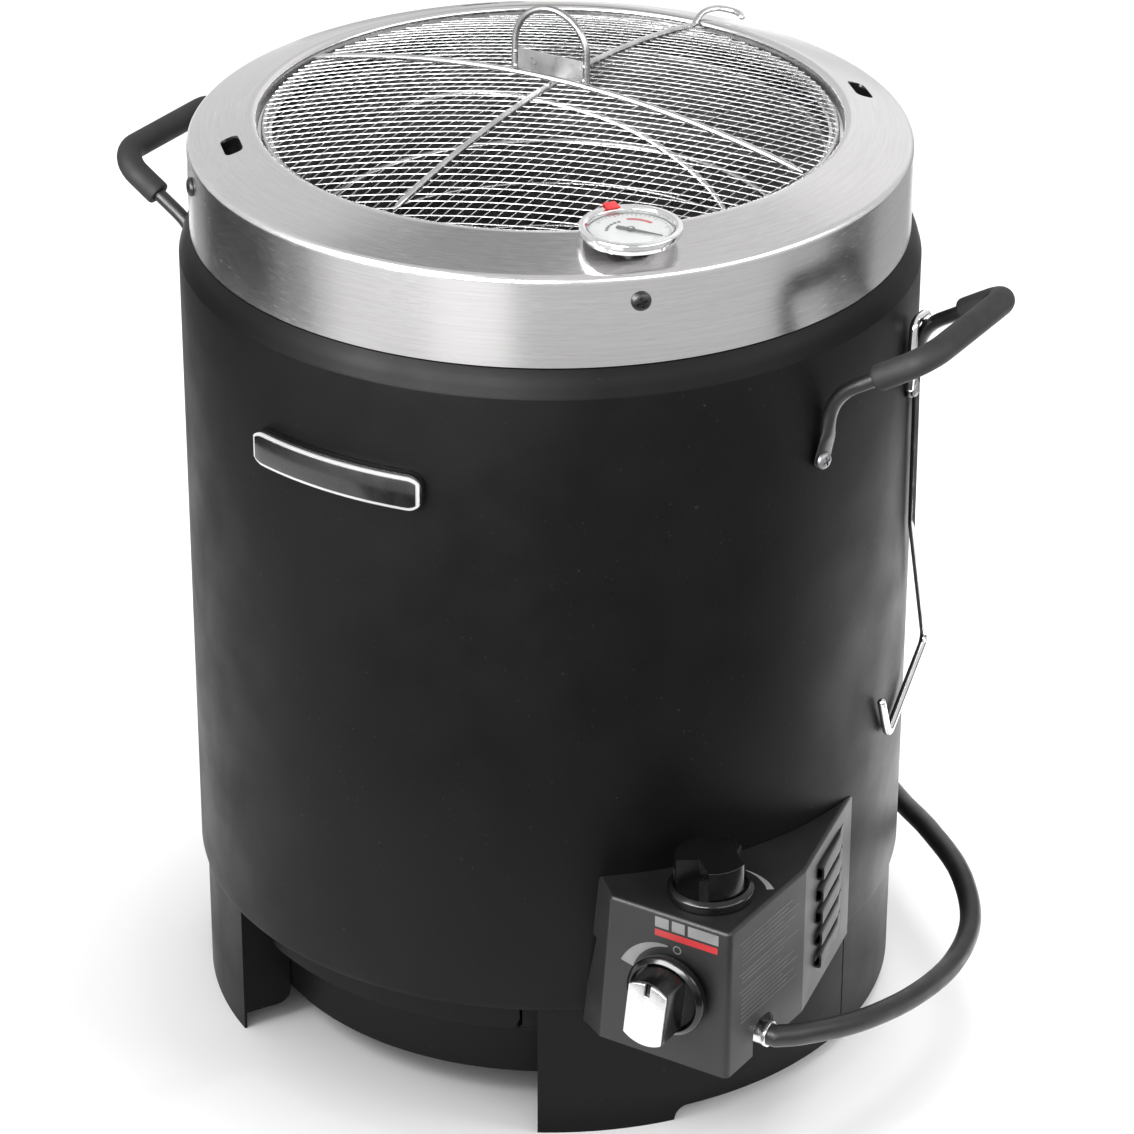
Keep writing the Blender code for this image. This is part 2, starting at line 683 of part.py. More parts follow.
def bar_outline(half_width, half_length):
    """Grip bar with bowed ends. Local Y is the bar's length."""
    arc = [(half_width, half_length - 0.0040), (half_width * 0.5, half_length - 0.0010),
           (0.0, half_length), (-half_width * 0.5, half_length - 0.0010),
           (-half_width, half_length - 0.0040)]
    return arc + [(-px, -py) for px, py in arc]


def igniter(plastic, steel, ceramic, parent):
    """Igniter knob and shaft, the spark unit under the panel, its electrode and lead."""
    x, y = IGNITER_AXIS
    place = Matrix.Translation((x, y, 0.0))
    base = PANEL_TOP + 0.0006
    bm = bmesh.new()
    add_turned(bm, [(0.0, 0.1860), (0.0034, 0.1860), (0.0034, base), (KNOB_RADIUS, base),
                    (KNOB_RADIUS, base + 0.0036), (KNOB_RADIUS - 0.0028, base + 0.0064),
                    (DRUM_RADIUS, base + 0.0060), (DRUM_RADIUS, 0.1947),
                    (DRUM_RADIUS - 0.0008, 0.1955), (0.0, 0.1955)], 28, place)
    knob = build("igniter_knob", bm, plastic, parent, parent.location)
    notches = bmesh.new()
    turn = place @ Matrix.Rotation(math.radians(NOTCH_TURN), 4, "Z")
    for outline in NOTCH_OUTLINES:
        add_prism(notches, outline, base + 0.0070, 0.2000, turn)
    cut(knob, notches)
    bm = bmesh.new()
    add_rod(bm, (x, y, 0.1560), (x, y, 0.1857), 0.0029, 12)
    build("igniter_shaft", bm, steel, parent, parent.location)
    top = PANEL_TOP - PANEL_WALL - GAP
    bm = bmesh.new()
    add_turned(bm, [(0.0, 0.1400), (0.0090, 0.1400), (0.0090, top), (0.0034, top),
                    (0.0034, 0.1550), (0.0, 0.1550)], 14, place)
    build("igniter_module", bm, plastic)
    spot = polar(0.1955, 60, 0.0)
    bm = bmesh.new()
    add_turned(bm, [(0.0, 0.0950), (0.0012, 0.0952), (0.0012, 0.1020), (0.0030, 0.1030),
                    (0.0030, 0.1270), (0.0, 0.1275)], 10, Matrix.Translation(spot))
    electrode = build("igniter_electrode", bm, ceramic)
    bracket = bmesh.new()
    place = Matrix.Rotation(math.radians(60 - 90), 4, "Z")
    add_box(bracket, (0.1965, -0.0030, 0.1100), (0.2040, 0.0030, 0.1120), place)
    join(electrode, bracket)


def igniter_lead(mat):
    """Lead from the spark unit, over the mixing tube, to the electrode."""
    x, y = IGNITER_AXIS
    path = smooth_path([(x - 0.0108, y + 0.0040, 0.1480), (x - 0.0165, y + 0.0080, 0.1400),
                        polar(0.2160, 50.8, 0.1260), polar(0.2056, 51.0, 0.1218),
                        polar(0.1985, 54.0, 0.1270), polar(0.1960, 58.5, 0.1345),
                        polar(0.1955, 60.0, 0.1295)], 3)
    bm = bmesh.new()
    add_tube(bm, path, 0.0011, 6)
    build("igniter_lead", bm, mat)


def panel_outline(spread, inset):
    """Plan of the control panel. Spread widens the left flank towards the bottom."""
    shell = SHELL_RADIUS + PANEL_SHELL_GAP
    left = polar(shell, 39.1 - 2.3 * spread, 0.0).xy
    walls = [left, Vector((0.1465 - 0.0062 * spread, PANEL_FRONT)),
             Vector((PANEL_SIDE, PANEL_FRONT)), Vector((0.2235, -0.0947)),
             polar(shell, 87.2, 0.0).xy]
    if inset == 0:
        bearings = [39.1 - 2.3 * spread + (87.2 - 39.1 + 2.3 * spread) * k / 8
                    for k in range(7, 0, -1)]
        return [tuple(p) for p in walls] + [tuple(polar(shell, a, 0.0).xy) for a in bearings]
    lines = []
    for a, b in zip(walls, walls[1:]):
        along = (b - a).normalized()
        inward = Vector((-along.y, along.x))
        lines.append((a + inward * inset, along))
    moved = [lines[0][0] - lines[0][1] * 0.02]
    for (p, u), (q, v) in zip(lines, lines[1:]):
        cross = u.x * v.y - u.y * v.x
        gap = q - p
        moved.append(p + u * ((gap.x * v.y - gap.y * v.x) / cross))
    moved.append(lines[-1][0] + lines[-1][1] * ((walls[4] - walls[3]).length + 0.02))
    bearings = [75, 60, 45]
    return [tuple(p) for p in moved] + [tuple(polar(0.185, a, 0.0).xy) for a in bearings]


def add_loft(bm, lower, upper, low, high):
    """Solid between two outlines with the same number of points."""
    rings = [[bm.verts.new((px, py, z)) for px, py in outline]
             for outline, z in ((lower, low), (upper, high))]
    skin(bm, rings)
    for ring in rings:
        bm.faces.new(ring)


def control_panel(mat):
    """Sheet housing for the gas controls, open at the bottom and towards the shell."""
    bm = bmesh.new()
    add_loft(bm, panel_outline(1.0, 0), panel_outline(0.0, 0), PANEL_BOTTOM, PANEL_TOP)
    panel = build("control_panel", bm, mat)
    hollow = bmesh.new()
    add_loft(hollow, panel_outline(1.1, PANEL_WALL), panel_outline(0.0, PANEL_WALL),
             PANEL_BOTTOM - 0.01, PANEL_TOP - PANEL_WALL)
    cut(panel, hollow)
    holes = bmesh.new()
    x, z = VALVE_AXIS
    add_rod(holes, (x, PANEL_FRONT - 0.003, z), (x, PANEL_FRONT + 0.004, z), 0.0045)
    x, y = IGNITER_AXIS
    add_rod(holes, (x, y, PANEL_TOP - 0.004), (x, y, PANEL_TOP + 0.003), 0.0045)
    out, height = HOSE_EXIT
    add_rod(holes, (PANEL_SIDE - 0.005, -out, height + 0.001),
            (PANEL_SIDE + 0.006, -out, height + 0.001), 0.0110)
    add_box(holes, (PANEL_SIDE - 0.005, -out - 0.0110, PANEL_BOTTOM - 0.004),
            (PANEL_SIDE + 0.006, -out + 0.0110, height + 0.001))
    cut(panel, holes, self_overlap=True)


def hose(rubber, bright, painted, plastic):
    """Gas hose from the panel round the right side, with its ferrule, regulator and nut."""
    out, height = HOSE_EXIT
    ferrule_end = 0.2270
    along = facing((0.0, -out, height), (1.0, 0.0, 0.0))
    bm = bmesh.new()
    add_turned(bm, [(0.0, 0.2115), (0.0072, 0.2115), (0.0072, 0.2140), (0.0066, 0.2150),
                    (0.0066, 0.2235), (0.0074, 0.2245), (0.0074, ferrule_end),
                    (0.0, ferrule_end)], 14, along)
    build("hose_ferrule", bm, bright)
    centre = Vector((0.0300, 0.2300, 0.0660))
    end = centre + Vector((0.0365, 0.0, 0.0))
    start = Vector((ferrule_end + GAP, -out, height))
    course = [(0.2300, -out, height), (0.2405, -0.1225, 0.0858),
              (0.2545, -0.0850, 0.0775), (0.2635, -0.0350, 0.0690), (0.2632, 0.0150, 0.0640),
              (0.2530, 0.0560, 0.0670), (0.2285, 0.0900, 0.0740), (0.1908, 0.1250, 0.0725),
              (0.1560, 0.1540, 0.0680), (0.1180, 0.1870, 0.0660), (0.0920, 0.2140, 0.0660),
              (0.0720, 0.2300, 0.0660)]
    bm = bmesh.new()
    add_tube(bm, [start, *smooth_path(course, 3), end], HOSE_RADIUS)
    build("gas_hose", bm, rubber)
    back = facing(centre, (0.0, 1.0, 0.0))
    bm = bmesh.new()
    add_turned(bm, [(0.0, -0.0110), (0.0180, -0.0110), (0.0240, -0.0060), (0.0280, -0.0020),
                    (0.0280, 0.0025), (0.0210, 0.0080), (0.0130, 0.0120), (0.0, 0.0125)],
               24, back)
    regulator = build("gas_regulator", bm, painted)
    bosses = bmesh.new()
    add_rod(bosses, centre + Vector((-0.0340, 0, 0)), centre + Vector((0.0362, 0, 0)), 0.0062, 12)
    join(regulator, bosses)
    nut = facing(centre - Vector((0.0343, 0.0, 0.0)), (-1.0, 0.0, 0.0))
    bm = bmesh.new()
    add_turned(bm, [(0.0, 0.0), (0.0160, 0.0), (0.0185, 0.0020), (0.0185, 0.0240),
                    (0.0165, 0.0260), (0.0125, 0.0260), (0.0125, 0.0080), (0.0, 0.0080)],
               16, nut)
    build("regulator_nut", bm, plastic)


# ---------------------------------------------------------------- lid and basket
def wire_height(distance, apex, end):
    """Height of a lid wire's centre at a distance from the middle of the lid."""
    return end + (apex - end) * (1 - (distance / LID_RADIUS) ** 2)


def lid(steel, parent):
    """Domed mesh lid with its rim, two crossed wires, lifting loop and tag plate."""
    origin = parent.location
    profile = []
    rim_height = RING_LEDGE_HEIGHT + GAP + LID_RIM_TUBE
    for k in range(6):
        a = TURN * k / 6 + TURN / 12
        profile.append((LID_RADIUS + LID_RIM_TUBE * math.cos(a),
                        rim_height + LID_RIM_TUBE * math.sin(a)))
    bm = bmesh.new()
    add_turned(bm, profile, 40)
    build("lid_rim", bm, steel, parent, origin)

    rings = 5
    under = []
    for k in range(rings + 1):
        r = 0.1565 * k / rings
        under.append((r, LID_EDGE_HEIGHT + (LID_APEX_HEIGHT - LID_EDGE_HEIGHT)
                      * (1 - (k / rings) ** 2)))
    over = [(r, z + LID_SHEET) for r, z in reversed(under)]
    bm = bmesh.new()
    add_turned(bm, under + over, 40)
    build("lid_mesh", bm, steel, parent, origin)

    end = LID_EDGE_HEIGHT + LID_SHEET + GAP + LID_WIRE
    lower_apex = LID_APEX_HEIGHT + LID_SHEET + GAP + LID_WIRE
    upper_apex = lower_apex + 2 * LID_WIRE + GAP
    steps = [LID_RADIUS * k / 6 for k in range(-6, 7)]
    bm = bmesh.new()
    add_tube(bm, [Vector((s, 0.0, wire_height(s, upper_apex, end))) for s in steps], LID_WIRE)
    build("lid_cross_wire", bm, steel, parent, origin)
    path = [Vector((0.0, s, wire_height(s, lower_apex, end))) for s in steps]
    tail = [(0.0, 0.1570, end), (0.0010, 0.1660, 0.5412), (0.0050, 0.1745, 0.5420),
            (0.0125, 0.1780, 0.5412), (0.0195, 0.1765, 0.5408), (0.0245, 0.1710, 0.5412)]
    bm = bmesh.new()
    add_tube(bm, path[:-1] + smooth_path(tail, 2), LID_WIRE)
    build("lid_hook_wire", bm, steel, parent, origin)

    foot = upper_apex + LID_WIRE + GAP
    wire = 0.0019
    half = LID_LOOP_HALF_WIDTH
    centre = LID_LOOP_TOP - wire - half
    loop = [Vector((-half, 0.0, foot))]
    for k in range(9):
        a = math.pi * (1 - k / 8)
        loop.append(Vector((half * math.cos(a), 0.0, centre + half * math.sin(a))))
    loop.append(Vector((half, 0.0, foot)))
    bm = bmesh.new()
    add_tube(bm, loop, wire)
    build("lid_loop", bm, steel, parent, origin)
    bm = bmesh.new()
    inner = half - wire - GAP
    add_box(bm, (-inner, -0.0005, foot), (inner, 0.0005, foot + 0.0120))
    build("lid_tag_plate", bm, steel, parent, origin)


def basket(steel, parent):
    """Cooking basket and the bail it is lifted by."""
    origin = parent.location
    r, wall = BASKET_RADIUS, BASKET_WALL
    profile = [(0.0, BASKET_BOTTOM), (r - 0.006, BASKET_BOTTOM), (r, BASKET_BOTTOM + 0.006),
               (r, BASKET_TOP), (r - wall, BASKET_TOP), (r - wall, BASKET_BOTTOM + 0.0068),
               (r - 0.0068, BASKET_BOTTOM + wall), (0.0, BASKET_BOTTOM + wall)]
    bm = bmesh.new()
    add_turned(bm, profile, 36)
    build("basket", bm, steel, parent, origin)
    foot = BASKET_TOP + 0.0013
    rise = [(0.1340, foot), (0.1180, 0.4930), (0.0940, 0.5185), (0.0520, 0.5370)]
    arch = [(-x, 0.0, z) for x, z in rise] + [(0.0, 0.0, 0.5420)]
    arch += [(x, 0.0, z) for x, z in reversed(rise)]
    bm = bmesh.new()
    add_tube(bm, smooth_path(arch, 2), 0.0020)
    build("basket_bail", bm, steel, parent, origin)


# ---------------------------------------------------------------- thermometer and lifter
def thermometer(chrome, white, dark, glass, red, body_joint, pointer_joint, marker_joint):
    """Dial thermometer parked in the front right slot of the ring."""
    spot = body_joint.location
    place = Matrix.Translation((spot.x, spot.y, 0.0))
    r, z = DIAL_SIZE, DIAL_BOTTOM
    bm = bmesh.new()
    add_turned(bm, [(0.0, z), (0.0240, z), (0.0255, z + 0.0012), (0.0255, z + 0.0028),
                    (r, z + 0.0034), (r, z + 0.0062), (r - 0.0010, z + 0.0069),
                    (r - 0.0030, z + 0.0064), (0.0228, z + 0.0054), (0.0228, z + 0.0018),
                    (0.0, z + 0.0018)], 24, place)
    build("thermometer_case", bm, chrome, body_joint, spot)
    bm = bmesh.new()
    add_turned(bm, [(0.0, z + 0.0021), (0.0222, z + 0.0021), (0.0222, z + 0.0027),
                    (0.0008, z + 0.0027), (0.0008, z + 0.0046), (0.0, z + 0.0046)], 20, place)
    build("thermometer_dial", bm, white, body_joint, spot)
    bm = bmesh.new()
    add_turned(bm, [(0.0, z + 0.0049), (0.0225, z + 0.0049), (0.0225, z + 0.0056),
                    (0.0, z + 0.0058)], 20, place)
    build("thermometer_lens", bm, glass, body_joint, spot)
    bm = bmesh.new()
    add_turned(bm, [(0.0, STEM_END), (0.0018, STEM_END + 0.006), (0.0020, z - 0.0090),
                    (0.0042, z - 0.0080), (0.0042, z - GAP), (0.0, z - GAP)], 10, place)
    build("thermometer_stem", bm, chrome, body_joint, spot)

    bm = bmesh.new()
    outline = [(0.0180, 0.0002), (0.0040, 0.0012), (-0.0080, 0.0014), (-0.0080, -0.0014),
               (0.0040, -0.0012), (0.0180, -0.0002)]
    turned = place @ Matrix.Rotation(math.radians(6), 4, "Z")
    add_prism(bm, outline, z + 0.0033, z + 0.0038, turned)
    pointer = build("thermometer_pointer", bm, dark, pointer_joint, pointer_joint.location)
    bore = bmesh.new()
    add_rod(bore, (spot.x, spot.y, z), (spot.x, spot.y, z + 0.007), 0.0010, 10)
    cut(pointer, bore)

    clip = [(0.0205, z + 0.0072), (r + 0.0003, z + 0.0072), (r + 0.0003, z + 0.0040),
            (r + 0.0013, z + 0.0040), (r + 0.0013, z + 0.0084), (0.0205, z + 0.0080)]
    turned = place @ Matrix.Rotation(math.radians(145), 4, "Z")
    upright = Matrix(((1, 0, 0, 0), (0, 0, -1, 0), (0, 1, 0, 0), (0, 0, 0, 1)))
    bm = bmesh.new()
    add_prism(bm, clip, -0.0034, 0.0034, turned @ upright)
    build("thermometer_marker", bm, red, marker_joint, marker_joint.location)


def lifter(mat, parent):
    """Wire lifting hook, hung by its crook over the rear end of the right handle's rod."""
    points = [(0.2080, 0.0370, 0.4040), (0.2065, 0.0430, 0.4438), (0.2065, 0.0595, 0.4438),
              (0.2009, 0.0606, 0.4000), (0.2001, 0.0640, 0.3090), (0.1929, 0.1015, 0.2160),
              (0.2082, 0.0279, 0.1920), (0.2097, 0.0151, 0.2210)]
    bm = bmesh.new()
    add_tube(bm, rounded_path(points, (0.006, 0.006, 0.05, 0.02, 0.006, 0.006), 3), 0.0025)
    build("lifter_hook", bm, mat, parent, parent.location)


# ---------------------------------------------------------------- assembly
def clear_scene():
    """Remove every object that the scene starts with."""
    for obj in list(bpy.data.objects):
        bpy.data.objects.remove(obj, do_unlink=True)


def main():
    """Build the fryer."""
    clear_scene()
    black_paint = material("black_powder_coat", (0.020, 0.020, 0.021), 0.55, 0.0)
    brushed = material("brushed_stainless", (0.62, 0.61, 0.60), 0.30, 1.0)
    pot_steel = material("chamber_steel", (0.42, 0.42, 0.42), 0.35, 1.0)
    wire = material("bright_wire", (0.75, 0.75, 0.76), 0.22, 1.0)
    chrome = material("polished_chrome", (0.80, 0.80, 0.81), 0.08, 1.0)
    brass = material("brass", (0.60, 0.43, 0.18), 0.30, 1.0)
    dark_screw = material("black_screw", (0.015, 0.015, 0.015), 0.35, 0.6)
    grip = material("grip_foam", (0.025, 0.025, 0.026), 0.75, 0.0)
    plastic = material("gloss_black_plastic", (0.010, 0.010, 0.011), 0.22, 0.0)
    rubber = material("hose_rubber", (0.014, 0.014, 0.015), 0.48, 0.0)
    iron = material("burner_iron", (0.16, 0.15, 0.14), 0.60, 0.8)
    zinc = material("regulator_zinc", (0.45, 0.45, 0.46), 0.45, 0.9)
    ceramic = material("white_ceramic", (0.82, 0.80, 0.75), 0.35, 0.0)
    white = material("dial_white", (0.85, 0.85, 0.83), 0.50, 0.0)
    red = material("marker_red", (0.65, 0.02, 0.02), 0.40, 0.0)
    glass = material("lens_glass", (0.90, 0.93, 0.94), 0.03, 0.0)
    badge_mat = material("badge_black", (0.012, 0.012, 0.012), 0.30, 0.0)

    outer_shell(black_paint)
    top_ring(brushed)
    cooking_chamber(pot_steel)
    fasteners(dark_screw)
    legs(black_paint)
    base_pan(black_paint)
    handles(black_paint, grip)
    badge(badge_mat)
    burner(iron)
    venturi(iron)
    gas_valve(brass, zinc)
    control_panel(black_paint)
    igniter_lead(rubber)
    hose(rubber, chrome, zinc, plastic)

    x, z = VALVE_AXIS
    turn_joint = joint("gas_knob_turn_axis", (x, PANEL_FRONT, z))
    push_joint = joint("gas_knob_push_axis", (x, PANEL_FRONT - 0.005, z))
    gas_knob(brass, zinc, plastic, chrome, turn_joint, push_joint)
    igniter(plastic, zinc, ceramic, joint("igniter_turn_axis", (*IGNITER_AXIS, PANEL_TOP)))
    drip_tray(black_paint, joint("tray_slide_axis", (0.0, -TRAY_FRONT_RADIUS, PAN_TOP)))
    lid(wire, joint("lid_lift_axis", (0.0, 0.0, LID_APEX_HEIGHT)))
    basket(wire, joint("basket_lift_axis", (0.0, 0.0, BASKET_TOP)))
    spot = polar(SLOT_RADIUS, 45, DIAL_BOTTOM)
    thermometer(chrome, white, dark_screw, glass, red, joint("thermometer_lift_axis", spot),
                joint("pointer_turn_axis", spot + Vector((0.0, 0.0, 0.0035))),
                joint("marker_turn_axis", spot + Vector((0.0, 0.0, 0.0060))))
    lifter(chrome, joint("lifter_lift_axis", (0.2065, HANDLE_HALF_SPAN, 0.4438)))


main()
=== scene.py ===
"""Looks of the turkey fryer kit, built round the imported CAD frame.

Units are metres. A "bearing" is in degrees from the front (-Y) towards +X, seen from above.
"""

import math

import bmesh
import bpy
from mathutils import Matrix, Vector


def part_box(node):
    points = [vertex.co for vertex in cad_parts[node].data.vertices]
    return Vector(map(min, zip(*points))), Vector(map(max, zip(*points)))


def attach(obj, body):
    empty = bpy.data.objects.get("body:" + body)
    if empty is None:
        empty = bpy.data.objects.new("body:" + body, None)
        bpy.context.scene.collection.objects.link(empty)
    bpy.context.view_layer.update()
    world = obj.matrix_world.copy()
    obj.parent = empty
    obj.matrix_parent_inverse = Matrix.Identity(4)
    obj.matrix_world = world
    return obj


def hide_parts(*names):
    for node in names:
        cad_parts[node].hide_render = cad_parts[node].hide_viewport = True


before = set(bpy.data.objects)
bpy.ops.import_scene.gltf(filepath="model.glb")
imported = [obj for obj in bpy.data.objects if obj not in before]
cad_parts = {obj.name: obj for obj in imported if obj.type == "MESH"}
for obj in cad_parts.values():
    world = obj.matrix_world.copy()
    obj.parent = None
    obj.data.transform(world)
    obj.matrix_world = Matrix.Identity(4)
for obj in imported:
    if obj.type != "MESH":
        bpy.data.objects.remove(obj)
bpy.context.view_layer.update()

TURN = 2 * math.pi
FINE = 192                    # facets round the large sheet-metal pieces
PANEL_SIDE = 0.2210           # X of the panel's side fold at its front
PANEL_FOLD = -0.0947          # Y where the panel's side turns to the vent face
KNOB_DRUM = 0.0199            # radius of both knobs' grips
LID_RADIUS = 0.1573           # where the crossed wires of the lid end
INK_LOW, INK_HIGH = 0.00002, 0.00012    # bottom and top of a printed mark above its face
CORNER_BEARINGS = (45, 135, 225, 315)
CORNER_NAMES = ("front_right", "rear_right", "rear_left", "front_left")


# ---------------------------------------------------------------- geometry helpers
def direction(bearing):
    """Horizontal unit vector at a bearing."""
    a = math.radians(bearing)
    return Vector((math.sin(a), -math.cos(a), 0.0))


def polar(radius, bearing, z):
    """Point at a radius, bearing and height."""
    return direction(bearing) * radius + Vector((0.0, 0.0, z))


def facing(origin, normal):
    """Matrix that puts local +Z along a normal, at an origin."""
    turn = Vector(normal).normalized().to_track_quat("Z", "Y").to_matrix().to_4x4()
    return Matrix.Translation(Vector(origin)) @ turn


def upright(along, origin=(0.0, 0.0, 0.0)):
    """Matrix with local X along a horizontal direction, local Y up and local Z outward."""
    along, up = Vector(along), Vector((0.0, 0.0, 1.0))
    turn = Matrix((along, up, along.cross(up))).transposed().to_4x4()
    return Matrix.Translation(origin) @ turn


def about_z(degrees):
    """Matrix of a turn about Z."""
    return Matrix.Rotation(math.radians(degrees), 4, "Z")


def centre(node):
    """Middle of a CAD node's box."""
    low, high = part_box(node)
    return (low + high) / 2


def rectangle(x0, x1, y0, y1):
    """Rectangle's outline."""
    return [(x0, y0), (x1, y0), (x1, y1), (x0, y1)]


def arc(radius, start, end, count, middle=(0.0, 0.0)):
    """Points from a start angle to an end angle, in degrees, round a middle."""
    angles = [math.radians(start + (end - start) * k / count) for k in range(count + 1)]
    return [(middle[0] + radius * math.cos(a), middle[1] + radius * math.sin(a)) for a in angles]


def circle(radius, count, middle=(0.0, 0.0)):
    """Closed circle's points round a middle."""
    return arc(radius, 0, 360, count, middle)[:-1]


def fillet(points, closed=True, steps=5):
    """2-D outline whose (x, y, radius) corners are replaced with arcs."""
    count = len(points)
    result = []
    for i, (x, y, radius) in enumerate(points):
        corner = Vector((x, y))
        if radius == 0 or (not closed and i in (0, count - 1)):
            result.append(corner)
            continue
        before = Vector(points[i - 1][:2])
        after = Vector(points[(i + 1) % count][:2])
        u, v = (before - corner).normalized(), (after - corner).normalized()
        half = math.acos(max(-1.0, min(1.0, u.dot(v)))) / 2
        reach = min(radius / math.tan(half), (before - corner).length * 0.49,
                    (after - corner).length * 0.49)
        for k in range(steps + 1):
            t = k / steps
            a, b = corner + u * reach, corner + v * reach
            result.append(a * (1 - t) ** 2 + corner * 2 * t * (1 - t) + b * t ** 2)
    return [tuple(p) for p in result]


def bend(points, radii, steps=8):
    """3-D polyline with rounded corners."""
    points = [Vector(p) for p in points]
    path = [points[0]]
    for before, corner, after, radius in zip(points, points[1:], points[2:], radii):
        u, v = (before - corner).normalized(), (after - corner).normalized()
        half = math.acos(max(-1.0, min(1.0, u.dot(v)))) / 2
        reach = radius / math.tan(half)
        centre = corner + (u + v).normalized() * (radius / math.sin(half))
        start = (corner + u * reach - centre).normalized()
        end = (corner + v * reach - centre).normalized()
        path += [centre + start.slerp(end, k / steps) * radius for k in range(steps + 1)]
    path.append(points[-1])
    return path


def spline(points, steps):
    """Catmull-Rom curve through the points."""
    points = [Vector(p) for p in points]
    padded = [2 * points[0] - points[1], *points, 2 * points[-1] - points[-2]]
    path = []
    for a, b, c, d in zip(padded, padded[1:], padded[2:], padded[3:]):
        for k in range(steps):
            t = k / steps
            path.append(0.5 * (2 * b + (c - a) * t + (2 * a - 5 * b + 4 * c - d) * t ** 2
                               + (3 * b - a - 3 * c + d) * t ** 3))
    path.append(points[-1])
    return path


def skin(bm, rings, closed=True):
    """Quads between each ring of vertices and the next."""
    for a, b in zip(rings, rings[1:]):
        count = len(a)
        for k in range(count if closed else count - 1):
            n = (k + 1) % count
            bm.faces.new((a[k], a[n], b[n], b[k]))


def turned(bm, profile, segments=FINE, matrix=None, loop=True):
    """Solid of revolution about local Z from (r, z) points. Points on the axis make a cap."""
    matrix = matrix or Matrix.Identity(4)
    columns = []
    for k in range(segments):
        a = TURN * k / segments
        columns.append([matrix @ Vector((r * math.cos(a), r * math.sin(a), z))
                        for r, z in profile])
    centres = {i: bm.verts.new(matrix @ Vector((0.0, 0.0, z)))
               for i, (r, z) in enumerate(profile) if r < 1e-7}
    grid = [[centres.get(i) or bm.verts.new(p) for i, p in enumerate(column)]
            for column in columns]
    spans = list(range(len(profile) - 1))
    for a, b in zip(grid, grid[1:] + grid[:1]):
        pairs = [(i, i + 1) for i in spans]
        if loop and not centres:
            pairs.append((len(profile) - 1, 0))
        for i, j in pairs:
            corners = []
            for v in (a[i], b[i], b[j], a[j]):
                if v not in corners:
                    corners.append(v)
            if len(corners) > 2:
                bm.faces.new(corners)


def prism(bm, outline, low, high, matrix=None):
    """Outline in local XY, extruded from low to high along local Z."""
    matrix = matrix or Matrix.Identity(4)
    rings = [[bm.verts.new(matrix @ Vector((x, y, z))) for x, y in outline]
             for z in (low, high)]
    skin(bm, rings)
    for ring in rings:
        bm.faces.new(ring)


def rod(bm, start, end, radius, sides=24):
    """Straight round bar between two points."""
    length = (Vector(end) - Vector(start)).length
    turned(bm, [(0.0, 0.0), (radius, 0.0), (radius, length), (0.0, length)], sides,
           facing(start, Vector(end) - Vector(start)))


def tube(bm, path, radius, sides=16, bore=None, sizes=None, reference=None):
    """Bar along a path, or a sleeve when it has a bore.

    Sizes give each point its own half-thicknesses along and across the reference direction.
    """
    tangents = [(b - a).normalized() for a, b in zip(path, path[1:])]
    tangents = [tangents[0], *[(a + b).normalized() for a, b in zip(tangents, tangents[1:])],
                tangents[-1]]
    side = Vector(reference) if reference else tangents[0].orthogonal()
    outer, inner = [], []
    for i, (point, tangent) in enumerate(zip(path, tangents)):
        side = (side - tangent * side.dot(tangent)).normalized()
        up = tangent.cross(side)
        along, across = sizes[i] if sizes else (radius, radius)
        for rings, a, b in ((outer, along, across), (inner, bore, bore)):
            if a is None:
                continue
            rings.append([bm.verts.new(point + side * math.cos(TURN * k / sides) * a
                                       + up * math.sin(TURN * k / sides) * b)
                          for k in range(sides)])
    skin(bm, outer)
    if bore is None:
        bm.faces.new(outer[0])
        bm.faces.new(outer[-1])
        return
    skin(bm, inner)
    skin(bm, [outer[0], inner[0]])
    skin(bm, [outer[-1], inner[-1]])


def rounded_ends(path, radius):
    """Half-thicknesses along a path that round off a bar's two ends."""
    total = [0.0]
    for a, b in zip(path, path[1:]):
        total.append(total[-1] + (b - a).length)
    sizes = []
    for s in total:
        gap = min(s, total[-1] - s)
        share = min(1.0, max(0.0, gap / radius))
        size = radius * math.sqrt(max(0.02, 1 - (1 - share) ** 2))
        sizes.append((size, size))
    return sizes


def dense(path, step):
    """Path with points added at both ends, so that rounded ends have room for their steps."""
    first = [path[0].lerp(path[0] + (path[1] - path[0]).normalized() * step, t)
             for t in (0.0, 0.08, 0.25, 0.5, 0.75)]
    last = [path[-1].lerp(path[-1] + (path[-2] - path[-1]).normalized() * step, t)
            for t in (0.75, 0.5, 0.25, 0.08, 0.0)]
    return first + path[1:-1] + last


def bent_plate(bm, columns, inner, outer):
    """Plate bent round the body axis from (bearing, low, high) columns."""
    grid = []
    for bearing, low, high in columns:
        corners = ((inner, low), (outer, low), (outer, high), (inner, high))
        grid.append([bm.verts.new(polar(r, bearing, z)) for r, z in corners])
    skin(bm, grid)
    bm.faces.new(grid[0])
    bm.faces.new(grid[-1])


def solid(make, *args, **settings):
    """New bmesh with one solid in it."""
    bm = bmesh.new()
    make(bm, *args, **settings)
    return bm


def to_object(bm, name="solid"):
    """Object from a bmesh, with its faces turned outward."""
    bmesh.ops.recalc_face_normals(bm, faces=bm.faces[:])
    mesh = bpy.data.meshes.new(name)
    bm.to_mesh(mesh)
    bm.free()
    obj = bpy.data.objects.new(name, mesh)
    bpy.context.scene.collection.objects.link(obj)
    return obj


def bake_modifiers(obj):
    """Replace an object's mesh with its modified mesh."""
    graph = bpy.context.evaluated_depsgraph_get()
    mesh = bpy.data.meshes.new_from_object(obj.evaluated_get(graph))
    obj.modifiers.clear()
    obj.data = mesh


